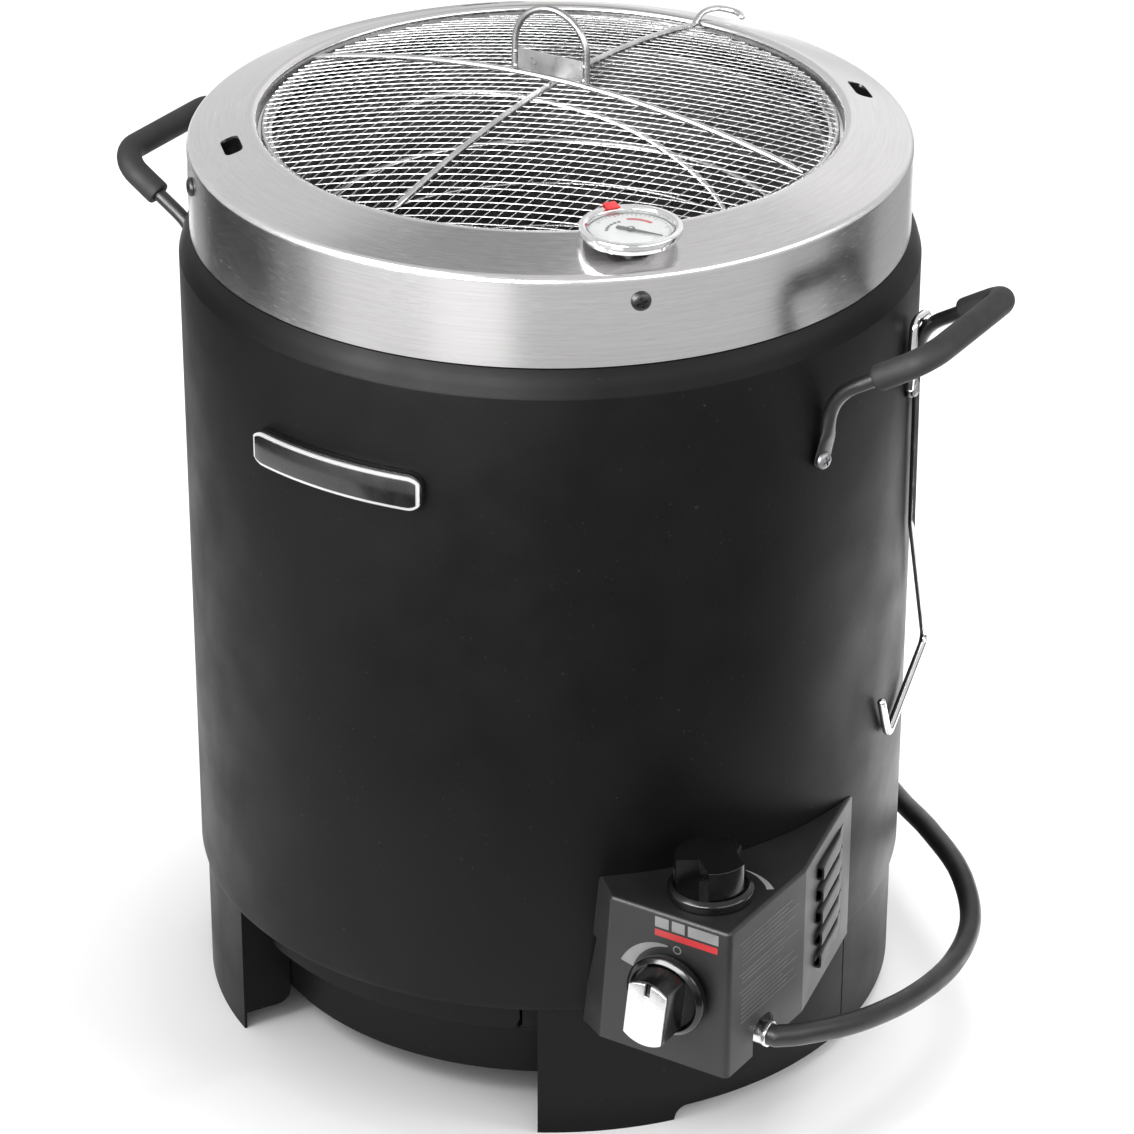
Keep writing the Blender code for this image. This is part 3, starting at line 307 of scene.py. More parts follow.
def carve(obj, bm, operation="DIFFERENCE"):
    """Boolean with the solids in a bmesh, applied at once."""
    tool = to_object(bm)
    modifier = obj.modifiers.new("carve", "BOOLEAN")
    modifier.operation = operation
    modifier.solver = "EXACT"
    modifier.use_self = True
    modifier.object = tool
    bake_modifiers(obj)
    bpy.data.objects.remove(tool)


def soften(obj, width, segments=2):
    """Bevel an object's edges of over 30 degrees."""
    modifier = obj.modifiers.new("soften", "BEVEL")
    modifier.width = width
    modifier.segments = segments
    modifier.limit_method = "ANGLE"
    modifier.angle_limit = math.radians(30)
    modifier.use_clamp_overlap = True
    bake_modifiers(obj)


def piece(name, made, look, body, stands_for=(), sharp=35):
    """Finish a piece: shading, material, body and the CAD nodes it replaces."""
    obj = to_object(made) if isinstance(made, bmesh.types.BMesh) else made
    obj.name = name
    obj.data.name = name
    obj.data.shade_smooth()
    obj.data.set_sharp_from_angle(angle=math.radians(sharp))
    obj.data.materials.clear()
    obj.data.materials.append(LOOKS[look])
    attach(obj, body)
    if stands_for:
        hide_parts(*stands_for)


# ---------------------------------------------------------------- materials
class Look:
    """Principled material that is put together node by node."""

    def __init__(self, name, metallic=0.0, specular=0.5, coat=0.0, ior=1.5, anisotropy=0.0):
        self.material = bpy.data.materials.new(name)
        self.material.use_nodes = True
        self.tree = self.material.node_tree
        self.shader = self.tree.nodes["Principled BSDF"]
        for socket, value in (("Metallic", metallic), ("Specular IOR Level", specular),
                              ("Coat Weight", coat), ("Coat Roughness", 0.1),
                              ("IOR", ior), ("Anisotropic", anisotropy)):
            self.shader.inputs[socket].default_value = value
        self.coords = self.node("ShaderNodeTexCoord").outputs["Object"]
        self.height = None

    def node(self, kind, **settings):
        """New node with its properties set."""
        made = self.tree.nodes.new(kind)
        for key, value in settings.items():
            setattr(made, key, value)
        return made

    def link(self, source, target):
        """Join two sockets."""
        self.tree.links.new(source, target)

    def math(self, operation, a, b=None):
        """Output of a Math node."""
        made = self.node("ShaderNodeMath", operation=operation)
        for socket, value in zip(made.inputs, (a, b)):
            if value is None:
                continue
            if isinstance(value, (int, float)):
                socket.default_value = value
            else:
                self.link(value, socket)
        return made.outputs[0]

    def around_axis(self, across, along):
        """Coordinates stretched along the circles round the body axis."""
        split = self.node("ShaderNodeSeparateXYZ")
        self.link(self.coords, split.inputs[0])
        x, y, z = split.outputs
        radius = self.math("SQRT", self.math("ADD", self.math("MULTIPLY", x, x),
                                             self.math("MULTIPLY", y, y)))
        angle = self.math("ARCTAN2", x, self.math("MULTIPLY", y, -1.0))
        joined = self.node("ShaderNodeCombineXYZ")
        self.link(self.math("MULTIPLY", radius, across), joined.inputs[0])
        self.link(self.math("MULTIPLY", z, across), joined.inputs[1])
        self.link(self.math("MULTIPLY", angle, along), joined.inputs[2])
        return joined.outputs[0]

    def noise(self, scale, detail=3.0, coords=None):
        """Noise value."""
        made = self.node("ShaderNodeTexNoise")
        made.inputs["Scale"].default_value = scale
        made.inputs["Detail"].default_value = detail
        self.link(coords or self.coords, made.inputs["Vector"])
        return made.outputs["Fac"]

    def spread(self, value, low, high, start=0.3, end=0.7):
        """Value remapped between two limits."""
        made = self.node("ShaderNodeMapRange")
        for key, number in (("From Min", start), ("From Max", end), ("To Min", low),
                            ("To Max", high)):
            made.inputs[key].default_value = number
        self.link(value, made.inputs["Value"])
        return made.outputs[0]

    def mix(self, factor, a, b):
        """Mix of two values, each a grey level, a colour or a socket."""
        made = self.node("ShaderNodeMix", data_type="RGBA")
        self.link(factor, made.inputs["Factor"])
        for socket, value in ((made.inputs[6], a), (made.inputs[7], b)):
            if isinstance(value, float):
                value = (value, value, value)
            if isinstance(value, tuple):
                socket.default_value = (*value, 1.0)
            else:
                self.link(value, socket)
        return made.outputs[2]

    def bump(self, height, strength, distance):
        """Add a bump layer to the normal."""
        made = self.node("ShaderNodeBump")
        made.inputs["Strength"].default_value = strength
        made.inputs["Distance"].default_value = distance
        self.link(height, made.inputs["Height"])
        if self.height is not None:
            self.link(self.height, made.inputs["Normal"])
        self.height = made.outputs[0]
        self.link(self.height, self.shader.inputs["Normal"])

    def colour(self, value):
        """Set the base colour."""
        self.link(value, self.shader.inputs["Base Color"])

    def roughness(self, value):
        """Set the roughness."""
        self.link(value, self.shader.inputs["Roughness"])


def powder_coat(name, dark, light, rough=0.46, specular=0.12):
    """Satin black powder coat with a fine orange peel and a few pale dust specks."""
    look = Look(name, specular=specular)
    patches = look.noise(9.0, 4.0)
    speck = look.noise(900.0, 1.0)
    base = look.mix(look.spread(patches, 0.0, 1.0), dark, light)
    dust = look.spread(look.noise(420.0, 2.0), 0.0, 0.5, 0.70, 0.80)
    look.colour(look.mix(dust, base, (0.045, 0.044, 0.043)))
    look.roughness(look.spread(look.noise(26.0, 5.0), rough - 0.05, rough + 0.07))
    look.bump(speck, 0.22, 0.0002)
    look.bump(look.noise(160.0, 2.0), 0.05, 0.0004)
    return look.material


def brushed_steel(name, dark, light, rough, across=900.0, along=5.0, strength=0.10):
    """Stainless steel brushed round the body, with soft smudges."""
    look = Look(name, metallic=1.0, anisotropy=0.55)
    lines = look.around_axis(across, along)
    fine = look.noise(1.0, 4.0, lines)
    coarse = look.noise(0.22, 2.0, lines)
    smudge = look.noise(14.0, 4.0)
    blend = look.math("ADD", look.math("MULTIPLY", fine, 0.6), look.math("MULTIPLY", coarse, 0.4))
    look.colour(look.mix(look.spread(blend, 0.0, 1.0, 0.35, 0.65), dark, light))
    look.roughness(look.math("ADD", look.spread(fine, rough - 0.05, rough + 0.06),
                             look.spread(smudge, -0.02, 0.05)))
    look.bump(fine, strength, 0.0002)
    return look.material


def mottled(name, dark, light, rough, tones, sheen, grain, **settings):
    """Material with mottled colour, uneven gloss and a grain.

    Each starts with the scale and detail of its noise. Sheen goes on with how far the roughness
    strays below and above, and grain with the bump's strength and distance.
    """
    look = Look(name, **settings)
    look.colour(look.mix(look.spread(look.noise(*tones), 0.0, 1.0), dark, light))
    look.roughness(look.spread(look.noise(*sheen[:2]), rough - sheen[2], rough + sheen[3]))
    look.bump(look.noise(*grain[:2]), *grain[2:])
    return look.material


def bright_wire(name, dark, light, rough):
    """Drawn or plated steel wire with slight tarnish."""
    return mottled(name, dark, light, rough, (60.0, 4.0), (140.0, 3.0, 0.04, 0.08),
                   (500.0, 2.0, 0.08, 0.0001), metallic=1.0)


def moulded(name, dark, light, rough, grain=700.0, strength=0.05, coat=0.0, specular=0.5):
    """Moulded plastic, rubber or foam with a fine grain."""
    return mottled(name, dark, light, rough, (40.0, 3.0), (90.0, 4.0, 0.05, 0.08),
                   (grain, 2.0, strength, 0.0003), coat=coat, specular=specular)


def cast_metal(name, dark, light, rough, metallic=0.8):
    """Rough casting with mottled colour."""
    return mottled(name, dark, light, rough, (45.0, 6.0), (80.0, 4.0, 0.08, 0.10),
                   (350.0, 4.0, 0.25, 0.0005), metallic=metallic)


def lens_glass(name):
    """Clear gauge glass with faint smears."""
    look = Look(name, specular=0.5, ior=1.45)
    look.shader.inputs["Transmission Weight"].default_value = 1.0
    look.colour(look.mix(look.noise(30.0), (0.97, 0.98, 0.98), (0.93, 0.95, 0.95)))
    look.roughness(look.spread(look.noise(55.0, 3.0), 0.01, 0.06))
    return look.material


LOOKS = {
    "paint": powder_coat("black_powder_coat", (0.0032, 0.0030, 0.0030), (0.0050, 0.0047, 0.0047)),
    # The panel takes the body's black powder coat, painted lighter: painted light for the light
    # its faces catch from the right.
    "panel": powder_coat("panel_coat_painted_lighter", (0.0045, 0.0045, 0.0047),
                         (0.0072, 0.0069, 0.0072), specular=0.5),
    "ring": brushed_steel("brushed_stainless", (0.61, 0.60, 0.60), (0.69, 0.68, 0.68), 0.19,
                          3400.0, 24.0, 0.012),
    "pot": brushed_steel("chamber_steel", 0.16, 0.34, 0.42, 500.0, 8.0),
    "wire": bright_wire("bright_wire", 0.46, 0.66, 0.24),
    "loop": bright_wire("dull_wire", 0.24, 0.42, 0.30),
    "chrome": bright_wire("polished_chrome", (0.68, 0.68, 0.69), (0.86, 0.86, 0.87), 0.08),
    "plate": brushed_steel("satin_plate", 0.62, 0.84, 0.30, 1500.0, 300.0),
    "brass": cast_metal("brass", (0.42, 0.29, 0.11), (0.60, 0.44, 0.19), 0.32, 1.0),
    "screw": moulded("black_screw", 0.006, 0.014, 0.34),
    "rod": moulded("rod_paint", 0.008, 0.016, 0.36, 500.0, 0.12),
    "grip": moulded("grip_foam", (0.010, 0.010, 0.011), (0.020, 0.020, 0.021), 0.66, 900.0, 0.35,
                    specular=0.35),
    "plastic": moulded("gloss_black_plastic", 0.003, 0.005, 0.20, coat=0.15, specular=0.38),
    "rubber": moulded("hose_rubber", 0.007, 0.016, 0.42, 600.0, 0.12),
    "iron": cast_metal("burner_iron", (0.06, 0.055, 0.05), (0.17, 0.15, 0.13), 0.6),
    "zinc": cast_metal("zinc_casting", (0.20, 0.20, 0.21), (0.31, 0.31, 0.32), 0.45),
    "ceramic": moulded("white_ceramic", (0.70, 0.68, 0.63), (0.84, 0.82, 0.77), 0.3),
    "dial": moulded("dial_white", (0.74, 0.74, 0.73), (0.84, 0.84, 0.83), 0.45),
    "ink": moulded("dial_ink", 0.012, 0.03, 0.5),
    "red": moulded("marker_red", (0.50, 0.012, 0.016), (0.66, 0.022, 0.026), 0.38),
    "print": moulded("grey_print", 0.20, 0.30, 0.55),
    "faint": moulded("faint_print", 0.045, 0.075, 0.55),
    "badge": moulded("badge_black", 0.005, 0.010, 0.25, coat=0.4),
    "white": moulded("badge_white", 0.66, 0.80, 0.35),
    "glass": lens_glass("lens_glass"),
}


# ---------------------------------------------------------------- body
def shell():
    """Painted body with its rounded shoulder and neck."""
    low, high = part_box("outer_shell")
    r, wall = high.x, 0.0016
    crease = high.z - 0.0550
    top = crease + 0.0143
    neck = r - 0.0082
    profile = [(r - 0.0008, low.z), (r, low.z + 0.0035), (r, crease - 0.0006),
               (r - 0.0001, crease), (r - 0.0004, crease + 0.0008), (r - 0.0015, crease + 0.0050),
               (r - 0.0027, crease + 0.0082), (r - 0.0042, crease + 0.0112),
               (r - 0.0064, top)]
    profile += [(neck, top + 0.0003), (neck, high.z), (neck - wall, high.z),
                (neck - wall, top - 0.0006), (r - 0.0044, crease + 0.0082),
                (r - wall, crease - 0.0008), (r - wall, low.z + 0.004),
                (r - wall - 0.0008, low.z)]
    bm = solid(turned, profile)
    piece("shell_body", bm, "paint", "fryer_body", ["outer_shell"], sharp=25)


def ring():
    """Brushed stainless top ring with its vent slots."""
    low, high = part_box("top_ring")
    r, wall = high.x, 0.0012
    edge = high.z - 0.0115
    crown = r - 0.0345
    mouth = crown - 0.0043
    ledge = high.z - 0.0092
    inner = 0.1530
    slot_radius, slot_corner = 0.1775, 0.0042
    outline = [(r, low.z, 0), (r, edge, 0.0052), (crown, high.z + 0.0004, 0.006),
               (mouth, high.z - 0.0009, 0.003), (mouth, ledge, 0.0006), (inner, ledge, 0),
               (inner, ledge - wall, 0), (mouth + wall, ledge - wall, 0.001),
               (mouth + wall, high.z - 0.0024, 0.002), (crown, high.z - wall, 0.004),
               (r - wall, edge - wall, 0.004), (r - wall, low.z, 0)]
    obj = to_object(solid(turned, fillet(outline, steps=6), 256))
    slots = bmesh.new()
    half_w, half_l = 0.0050, 0.0110
    plan = fillet([(*p, slot_corner) for p in rectangle(-half_w, half_w, -half_l, half_l)])
    for bearing in CORNER_BEARINGS:
        spot = polar(slot_radius, bearing, 0.0)
        turn = about_z(bearing - 90)
        prism(slots, plan, high.z - 0.015, high.z + 0.01, Matrix.Translation(spot) @ turn)
    carve(obj, slots)
    piece("ring_top", obj, "ring", "fryer_body", ["top_ring"], 28)


def screw_head(name, node, head_radius, look):
    """Pan-head screw with a cross recess, at a CAD screw's place."""
    middle = centre(node)
    axis = Vector((middle.x, middle.y, 0.0)).normalized()
    depths = [Vector((v.co.x, v.co.y, 0.0)).dot(axis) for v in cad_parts[node].data.vertices]
    end, tip = min(depths), max(depths)
    base = tip - 0.0026
    profile = [(0.0, end), (0.0018, end + 0.0004), (0.0018, base), (head_radius, base)]
    for k in range(1, 9):
        a = math.pi / 2 * k / 8
        profile.append((head_radius * math.cos(a) ** 0.8 if k < 8 else 0.0,
                        base + 0.0026 * math.sin(a) ** 0.8))
    place = facing((0.0, 0.0, middle.z), axis)
    obj = to_object(solid(turned, profile, 32, place))
    recess = bmesh.new()
    reach = head_radius * 0.55
    for turn in (0.3, 0.3 + math.pi / 2):
        spin = place @ Matrix.Rotation(turn, 4, "Z")
        prism(recess, rectangle(-reach, reach, -0.0006, 0.0006), tip - 0.0012, tip + 0.001, spin)
    carve(obj, recess)
    piece(name, obj, look, "fryer_body", [node])


def screws():
    """All eight visible screws."""
    for corner in CORNER_NAMES:
        screw_head(f"ring_bolt_{corner}", f"ring_screw_{corner}", 0.0054, "screw")
        screw_head(f"handle_bolt_{corner}", f"handle_screw_{corner}", 0.0050, "zinc")


def chamber():
    """Cooking chamber seen through the lid."""
    low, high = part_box("cooking_chamber")
    r, wall, base = 0.1520, 0.0014, low.z
    flange = high.z - wall
    outline = [(0.018, base, 0), (r, base, 0.012), (r, flange, 0.0006), (high.x, flange, 0),
               (high.x, high.z, 0), (r - wall, high.z, 0.0018), (r - wall, base + wall, 0.011),
               (0.018, base + wall, 0)]
    bm = solid(turned, fillet(outline, steps=6), 144)
    piece("chamber_pot", bm, "pot", "fryer_body", ["cooking_chamber"])


def leg_columns(start, end, feet, top):
    """Columns of the leg skirt, with a rounded step up beside each foot."""
    rise, width = 0.0085, 2.4
    columns = []
    count = max(2, round((end - start) / 1.2))
    stops = {start + (end - start) * k / count for k in range(count + 1)}
    for first, last in feet:
        stops.update(last + width * k / 6 for k in range(7) if last < end)
        stops.update(first - width * k / 6 for k in range(7) if first > start)
    for bearing in sorted(stops):
        if bearing < start - 1e-6 or bearing > end + 1e-6:
            continue
        low = rise
        for first, last in feet:
            off = max(first - bearing, bearing - last, 0.0) / width
            if off < 1:
                low = min(low, rise * math.sqrt(1 - (1 - off) ** 2))
        columns.append((bearing, low, top))
    return columns


def legs():
    """Front leg plates with their folded edges, and the rear skirt."""
    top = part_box("leg_front_right")[1].z
    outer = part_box("leg_rear_skirt")[1].y
    inner = outer - 0.0015
    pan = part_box("base_pan")[1].x
    fold = 29.7                   # bearing of the folded edge beside the tray
    for side, word in ((1, "right"), (-1, "left")):
        bm = bmesh.new()
        columns = leg_columns(fold, 88.0, [(fold, 52.0)], top)
        bent_plate(bm, [(side * a, low, high) for a, low, high in columns], inner, outer)
        obj = to_object(bm)
        flange = bmesh.new()
        outline = fillet([(outer - 0.0006, 0.0102, 0.0), (outer - 0.0006, top - 0.001, 0),
                          (pan + 0.0007, top - 0.001, 0), (pan + 0.0007, 0.0102, 0.010)])
        prism(flange, outline, -0.00075, 0.00075, upright(direction(side * (fold + 0.25))))
        carve(obj, flange, "UNION")
        soften(obj, 0.0003, 1)
        piece(f"leg_{word}", obj, "paint", "fryer_body", [f"leg_front_{word}"])
    bm = bmesh.new()
    feet = [(128.0, 150.3), (209.7, 232.0)]
    bent_plate(bm, leg_columns(88.25, 271.75, feet, top), inner, outer)
    obj = to_object(bm)
    soften(obj, 0.0003, 1)
    piece("leg_rear", obj, "paint", "fryer_body", ["leg_rear_skirt"])


def pan():
    """Fixed heat shield under the drip tray, with a narrow wall beside each end of its front."""
    low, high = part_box("base_pan")
    r, wall = high.x, 0.0015
    reach, shield_top = r + 0.0150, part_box("drip_tray")[1].z
    near, far = 26.9, 33.0        # bearings of the side walls' ends
    outline = [(r, low.z, 0.012), (r, high.z, 0), (r - wall, high.z, 0),
               (r - wall, low.z + wall, 0.0110)]
    profile = [(0.0, low.z), *fillet(outline, steps=6), (0.0, low.z + wall)]
    bm = solid(turned, profile, 160, loop=False)
    for side in (-1, 1):
        start, end = sorted((side * near, side * far))
        steps = [start + (end - start) * k / 8 for k in range(9)]
        bent_plate(bm, [(b, high.z - wall, high.z) for b in steps], r - wall, reach)
        bent_plate(bm, [(b, high.z + 0.0002, shield_top) for b in steps], reach - 0.0012, reach)
    piece("heat_shield", bm, "paint", "fryer_body", ["base_pan"])


def tray():
    """Drip tray with its rolled, curved front."""
    low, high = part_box("drip_tray")
    front = -low.y
    half, wall, depth = 0.0830, 0.0012, 0.0197

    def plan(inset):
        radius = front - 0.0008 - inset
        limit = math.degrees(math.asin((half - inset) / radius))
        bow = [tuple(polar(radius, limit * k / 24, 0.0).xy) for k in range(-24, 25)]
        back = high.y - inset
        corner = fillet([(*bow[-1], 0), (half - inset, back, 0.012), (-half + inset, back, 0.012),
                         (*bow[0], 0)])
        return bow + corner[1:-1]

    obj = to_object(solid(prism, plan(0.0), low.z, low.z + depth))
    hollow = solid(prism, plan(wall), low.z + wall, low.z + 0.03)
    carve(obj, hollow)
    lip = bmesh.new()
    columns = []
    limit = 26.5
    for k in range(49):
        bearing = -limit + 2 * limit * k / 48
        gap = min(limit - abs(bearing), 2.0) / 2.0
        corner = 0.006 * (1 - math.sqrt(1 - (1 - gap) ** 2))
        columns.append((bearing, low.z + 0.0002 + corner, high.z))
    bent_plate(lip, columns, front - 0.0019, front)
    carve(obj, lip, "UNION")
    soften(obj, 0.0003, 1)
    piece("tray_pan", obj, "paint", "tray", ["drip_tray"])


# ---------------------------------------------------------------- handles
def handles():
    """Bent rods with flattened ends, and their padded grips."""
    thick = 0.0073                # grip's radius
    rod_radius = 0.0040
    flat = 0.0016                 # half the rod's thickness at its flattened end
    eyelet = 0.0052               # from the screw down to the rod's end
    shank = 0.2047                # radius at which the rods stand up
    half = 0.0508                 # half the distance between the two shanks
    spread = 14.2                 # bearing of each screw from the handle's middle
    eye_radius = 0.20835          # radius of the rods' flattened ends
    grip_start = 0.2325           # radius at which the grips begin
    elbow = 0.017                 # bend at each end of a grip
    for word, side in (("right", 1), ("left", -1)):
        low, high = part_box(f"handle_grip_{word}")
        reach = max(abs(low.x), abs(high.x)) - thick
        eye_z = centre(f"handle_screw_front_{word}").z
        knee = Vector((side * shank, -half, eye_z + 0.0375))
        corner = Vector((side * reach, -half + 0.0023, high.z - thick))
        eye = polar(eye_radius, side * (90 - spread), eye_z)
        path = [eye - Vector((0, 0, eyelet)), eye, Vector((side * shank, -half, eye_z + 0.014)),
                knee, corner]
        start = bend(path, (0.02, 0.02, 0.030), 6)[:-1]
        mirror = [Vector((p.x, -p.y, p.z)) for p in reversed(start)]
        across = bend([start[-1], corner, Vector((corner.x, -corner.y, corner.z)), mirror[0]],
                      (elbow, elbow), 8)
        whole = dense(start[:-1] + across + mirror[1:], 0.004)
        sizes = []
        for p in whole:
            t = min(1.0, max(0.0, (p.z - eye_z - 0.006) / 0.020))
            t = t * t * (3 - 2 * t)
            drop = max(0.0, (eye_z - p.z) / eyelet)
            width = 0.0064 * math.sqrt(max(0.02, 1 - drop ** 2))
            sizes.append((flat + (rod_radius - flat) * t, width + (rod_radius - width) * t))
        obj = to_object(solid(tube, whole, rod_radius, 20, sizes=sizes,
                              reference=direction(side * (90 - spread))))
        holes = bmesh.new()
        for bearing in (side * 90 - spread, side * 90 + spread):
            rod(holes, polar(0.204, bearing, eye_z), polar(0.212, bearing, eye_z), 0.0023)
        carve(obj, holes)
        piece(f"rod_{word}", obj, "rod", "fryer_body", [f"handle_rod_{word}"])
        share = (grip_start - shank) / (reach - shank)
        begin = knee.lerp(corner, share)
        finish = Vector((begin.x, -begin.y, begin.z))
        grip = bend([begin, corner, Vector((corner.x, -corner.y, corner.z)), finish],
                    (elbow, elbow), 10)
        grip = dense(grip, 0.0035)
        sizes = []
        for i in range(len(grip)):
            edge = min(i, len(grip) - 1 - i)
            size = thick * ((0.86, 0.94, 0.98, 0.995, 1.0)[edge] if edge < 5 else 1.0)
            sizes.append((size, size))
        bm = solid(tube, grip, thick, 24, bore=0.0045, sizes=sizes)
        piece(f"grip_{word}", bm, "grip", "fryer_body", [f"handle_grip_{word}"])


def badge():
    """Blank raised plate with a pale edge on the shell's front."""
    low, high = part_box("badge")
    outer = -low.y
    middle, half = (low.z + high.z) / 2 + 0.0012, (high.z - low.z) / 2 - 0.0022
    left, right = -17.0, 13.0

    def plate(name, inset, inner, face, look, nodes=()):
        bm = bmesh.new()
        columns = []
        pad = math.degrees(inset / outer)
        for k in range(61):
            t = -1 + 2 * k / 60
            bearing = (left + right) / 2 + ((right - left) / 2 - pad) * math.sin(t * math.pi / 2)
            end = ((right - left) / 2 - abs(bearing - (left + right) / 2)) * TURN / 360 * outer
            radius = half * 0.8
            bow = min(1.0, max(0.0, end / radius))
            tall = half * 0.35 + half * 0.65 * math.sqrt(max(0.0, 1 - (1 - bow) ** 2))
            columns.append((bearing, middle - tall + inset, middle + tall - inset))
        bent_plate(bm, columns, inner, face)
        obj = to_object(bm)
        soften(obj, 0.0005, 2)
        piece(name, obj, look, "fryer_body", nodes)

    plate("badge_back", 0.0, outer - 0.0067, outer - 0.0022, "badge", ["badge"])
    plate("badge_edge", 0.0012, outer - 0.0021, outer - 0.0008, "white")
    plate("badge_face", 0.0030, outer - 0.0008, outer - 0.0001, "badge")


# ---------------------------------------------------------------- controls
def panel():
    """Sheet housing with rounded folds, vent scoops, printed marks and a hose notch."""
    low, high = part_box("control_panel")
    side, front, top, bottom = PANEL_SIDE, low.y, high.z, low.z
    shell_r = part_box("outer_shell")[1].x + 0.0005
    corner = Vector((high.x, PANEL_FOLD))
    back_bearing = 87.2
    back = polar(shell_r, back_bearing, 0.0).xy

    def plan(spread, inset, drop=0.0):
        left_bearing = 39.1 - 2.3 * spread      # the housing widens downward
        start = polar(shell_r, left_bearing, 0.0).xy
        walls = [start, Vector((0.1465 - 0.0062 * spread, front)), Vector((side, front)),
                 corner, back]
        moved = []
        offset = inset + drop
        for i, point in enumerate(walls):
            lines = []
            for a, b in ((i - 1, i), (i, i + 1)):
                if a < 0 or b >= len(walls):
                    continue
                along = (walls[b] - walls[a]).normalized()
                lines.append((walls[a] + Vector((-along.y, along.x)) * offset, along))
            if len(lines) == 1:
                course = lines[0][1]
                shift = point + Vector((-course.y, course.x)) * offset
                if inset:
                    moved.append(shift + course * (0.02 if i else -0.02))
                else:
                    reach = shift.dot(course)
                    root = math.sqrt(reach ** 2 - shift.length_squared + shell_r ** 2)
                    step = min((-reach - root, -reach + root), key=abs)
                    moved.append(shift + course * step)
                continue
            (p, u), (q, v) = lines
            gap = q - p
            cross = u.x * v.y - u.y * v.x
            moved.append(p + u * ((gap.x * v.y - gap.y * v.x) / cross))
        radius = max(0.0008, 0.0040 - offset)
        rounded = fillet([(*moved[0], 0), *[(*p, radius) for p in moved[1:-1]], (*moved[-1], 0)],
                         closed=False, steps=6)
        radius_in = 0.185 if inset else shell_r
        ends = [math.degrees(math.atan2(p.x, -p.y)) for p in (moved[0], moved[-1])]
        if inset:
            ends = [left_bearing, back_bearing]
        return rounded + [tuple(polar(radius_in, ends[0] + (ends[1] - ends[0]) * k / 24, 0.0).xy)
                          for k in range(23, 0, -1)]

    def loft(bm, levels, inset):
        rings = []
        for spread, drop, z in levels:
            rings.append([bm.verts.new((x, y, z)) for x, y in plan(spread, inset, drop)])
        skin(bm, rings)
        bm.faces.new(rings[0])
        bm.faces.new(rings[-1])

    bm = bmesh.new()
    fold = 0.0022
    levels = [(1.0, 0.0, bottom), (0.03, 0.0, top - fold)]
    levels += [(0.0, fold * (1 - math.cos(a)), top - fold + fold * math.sin(a))
               for a in (math.pi / 8, math.pi / 4, 3 * math.pi / 8, math.pi / 2)]
    loft(bm, levels, 0.0)
    obj = to_object(bm)
    hollow = solid(loft, [(1.1, 0.0, bottom - 0.01), (0.0, 0.0, top - 0.0015)], 0.0015)
    carve(obj, hollow)

    face = back - corner
    width = face.length
    place = upright((*face.normalized(), 0.0), (*corner, 0.0))
    scoops = bmesh.new()
    slits = bmesh.new()

    def louvre(bm, z, half, swell, floor, t0, t1):
        """Rounded bump that sinks a little towards the back and ends squarely."""
        rows = []
        for step in (0.0, 0.06, 0.12, 0.25, 0.5, 0.75, 0.94, 0.985, 1.0):
            t = t0 + (t1 - t0) * step
            u = width * 0.27 + width * 0.50 * t
            squeeze = min(1.0, 0.78 + 3.0 * max(0.0, t))
            tall = swell * (1 - 0.35 * max(0.0, t)) * (0.06 if t > 0.999 else 1.0)
            row = [(u, z + half * squeeze, floor)]
            for j in range(11):
                a = math.pi * j / 10
                c = math.cos(a)
                row.append((u, z + half * squeeze * math.copysign(abs(c) ** 0.5, c),
                            0.0002 + tall * math.sin(a) ** 0.5))
            row.append((u, z - half * squeeze, floor))
            rows.append([bm.verts.new(place @ Vector(p)) for p in row])
        skin(bm, rows)
        bm.faces.new(rows[0])
        bm.faces.new(rows[-1])

    for k in range(5):
        z = 0.1555 - 0.0144 * k
        louvre(scoops, z, 0.0058, 0.0034, -0.0008, 0.0, 1.08)
        louvre(slits, z, 0.0038, 0.0022, -0.0040, -0.04, 0.30)
    carve(obj, scoops, "UNION")
    carve(obj, slits)

    hole_radius, notch_half = 0.0045, 0.0110
    holes = bmesh.new()
    knob = centre("gas_valve_stem")
    rod(holes, (knob.x, front - 0.003, knob.z), (knob.x, front + 0.004, knob.z), hole_radius)
    top_knob = centre("igniter_shaft")
    rod(holes, (top_knob.x, top_knob.y, top - 0.004), (top_knob.x, top_knob.y, top + 0.003),
        hole_radius)
    ferrule = centre("hose_ferrule")
    left, right = ferrule.y - notch_half, ferrule.y + notch_half
    notch = fillet([(left, bottom - 0.004, 0), (right, bottom - 0.004, 0),
                    (right, ferrule.z + notch_half, 0.0105),
                    (left, ferrule.z + notch_half, 0.0105)])
    prism(holes, notch, side - 0.006, side + 0.008, upright((0, 1, 0)))
    carve(obj, holes)
    # The housing's lighter coat is painted light on its faces.
    piece("panel_housing", obj, "panel", "fryer_body", ["control_panel"], sharp=30)
    panel_marks(knob, top_knob, front, top)


def flat_mark(name, outline, place, look):
    """Thin printed mark lying on a face."""
    bm = solid(prism, outline, INK_LOW, INK_HIGH, place)
    piece(name, bm, look, "fryer_body")


def swoosh(radius_in, radius_out, start, end):
    """Arc that widens outward from a thin end to a thick end. Angles are in degrees."""
    count = 24
    wide = [1 + (radius_out / radius_in - 1) * (0.12 + 0.88 * k / count)
            for k in range(count + 1)]
    inner = arc(radius_in, start, end, count)
    return inner + [(x * w, y * w) for (x, y), w in zip(inner, wide)][::-1]


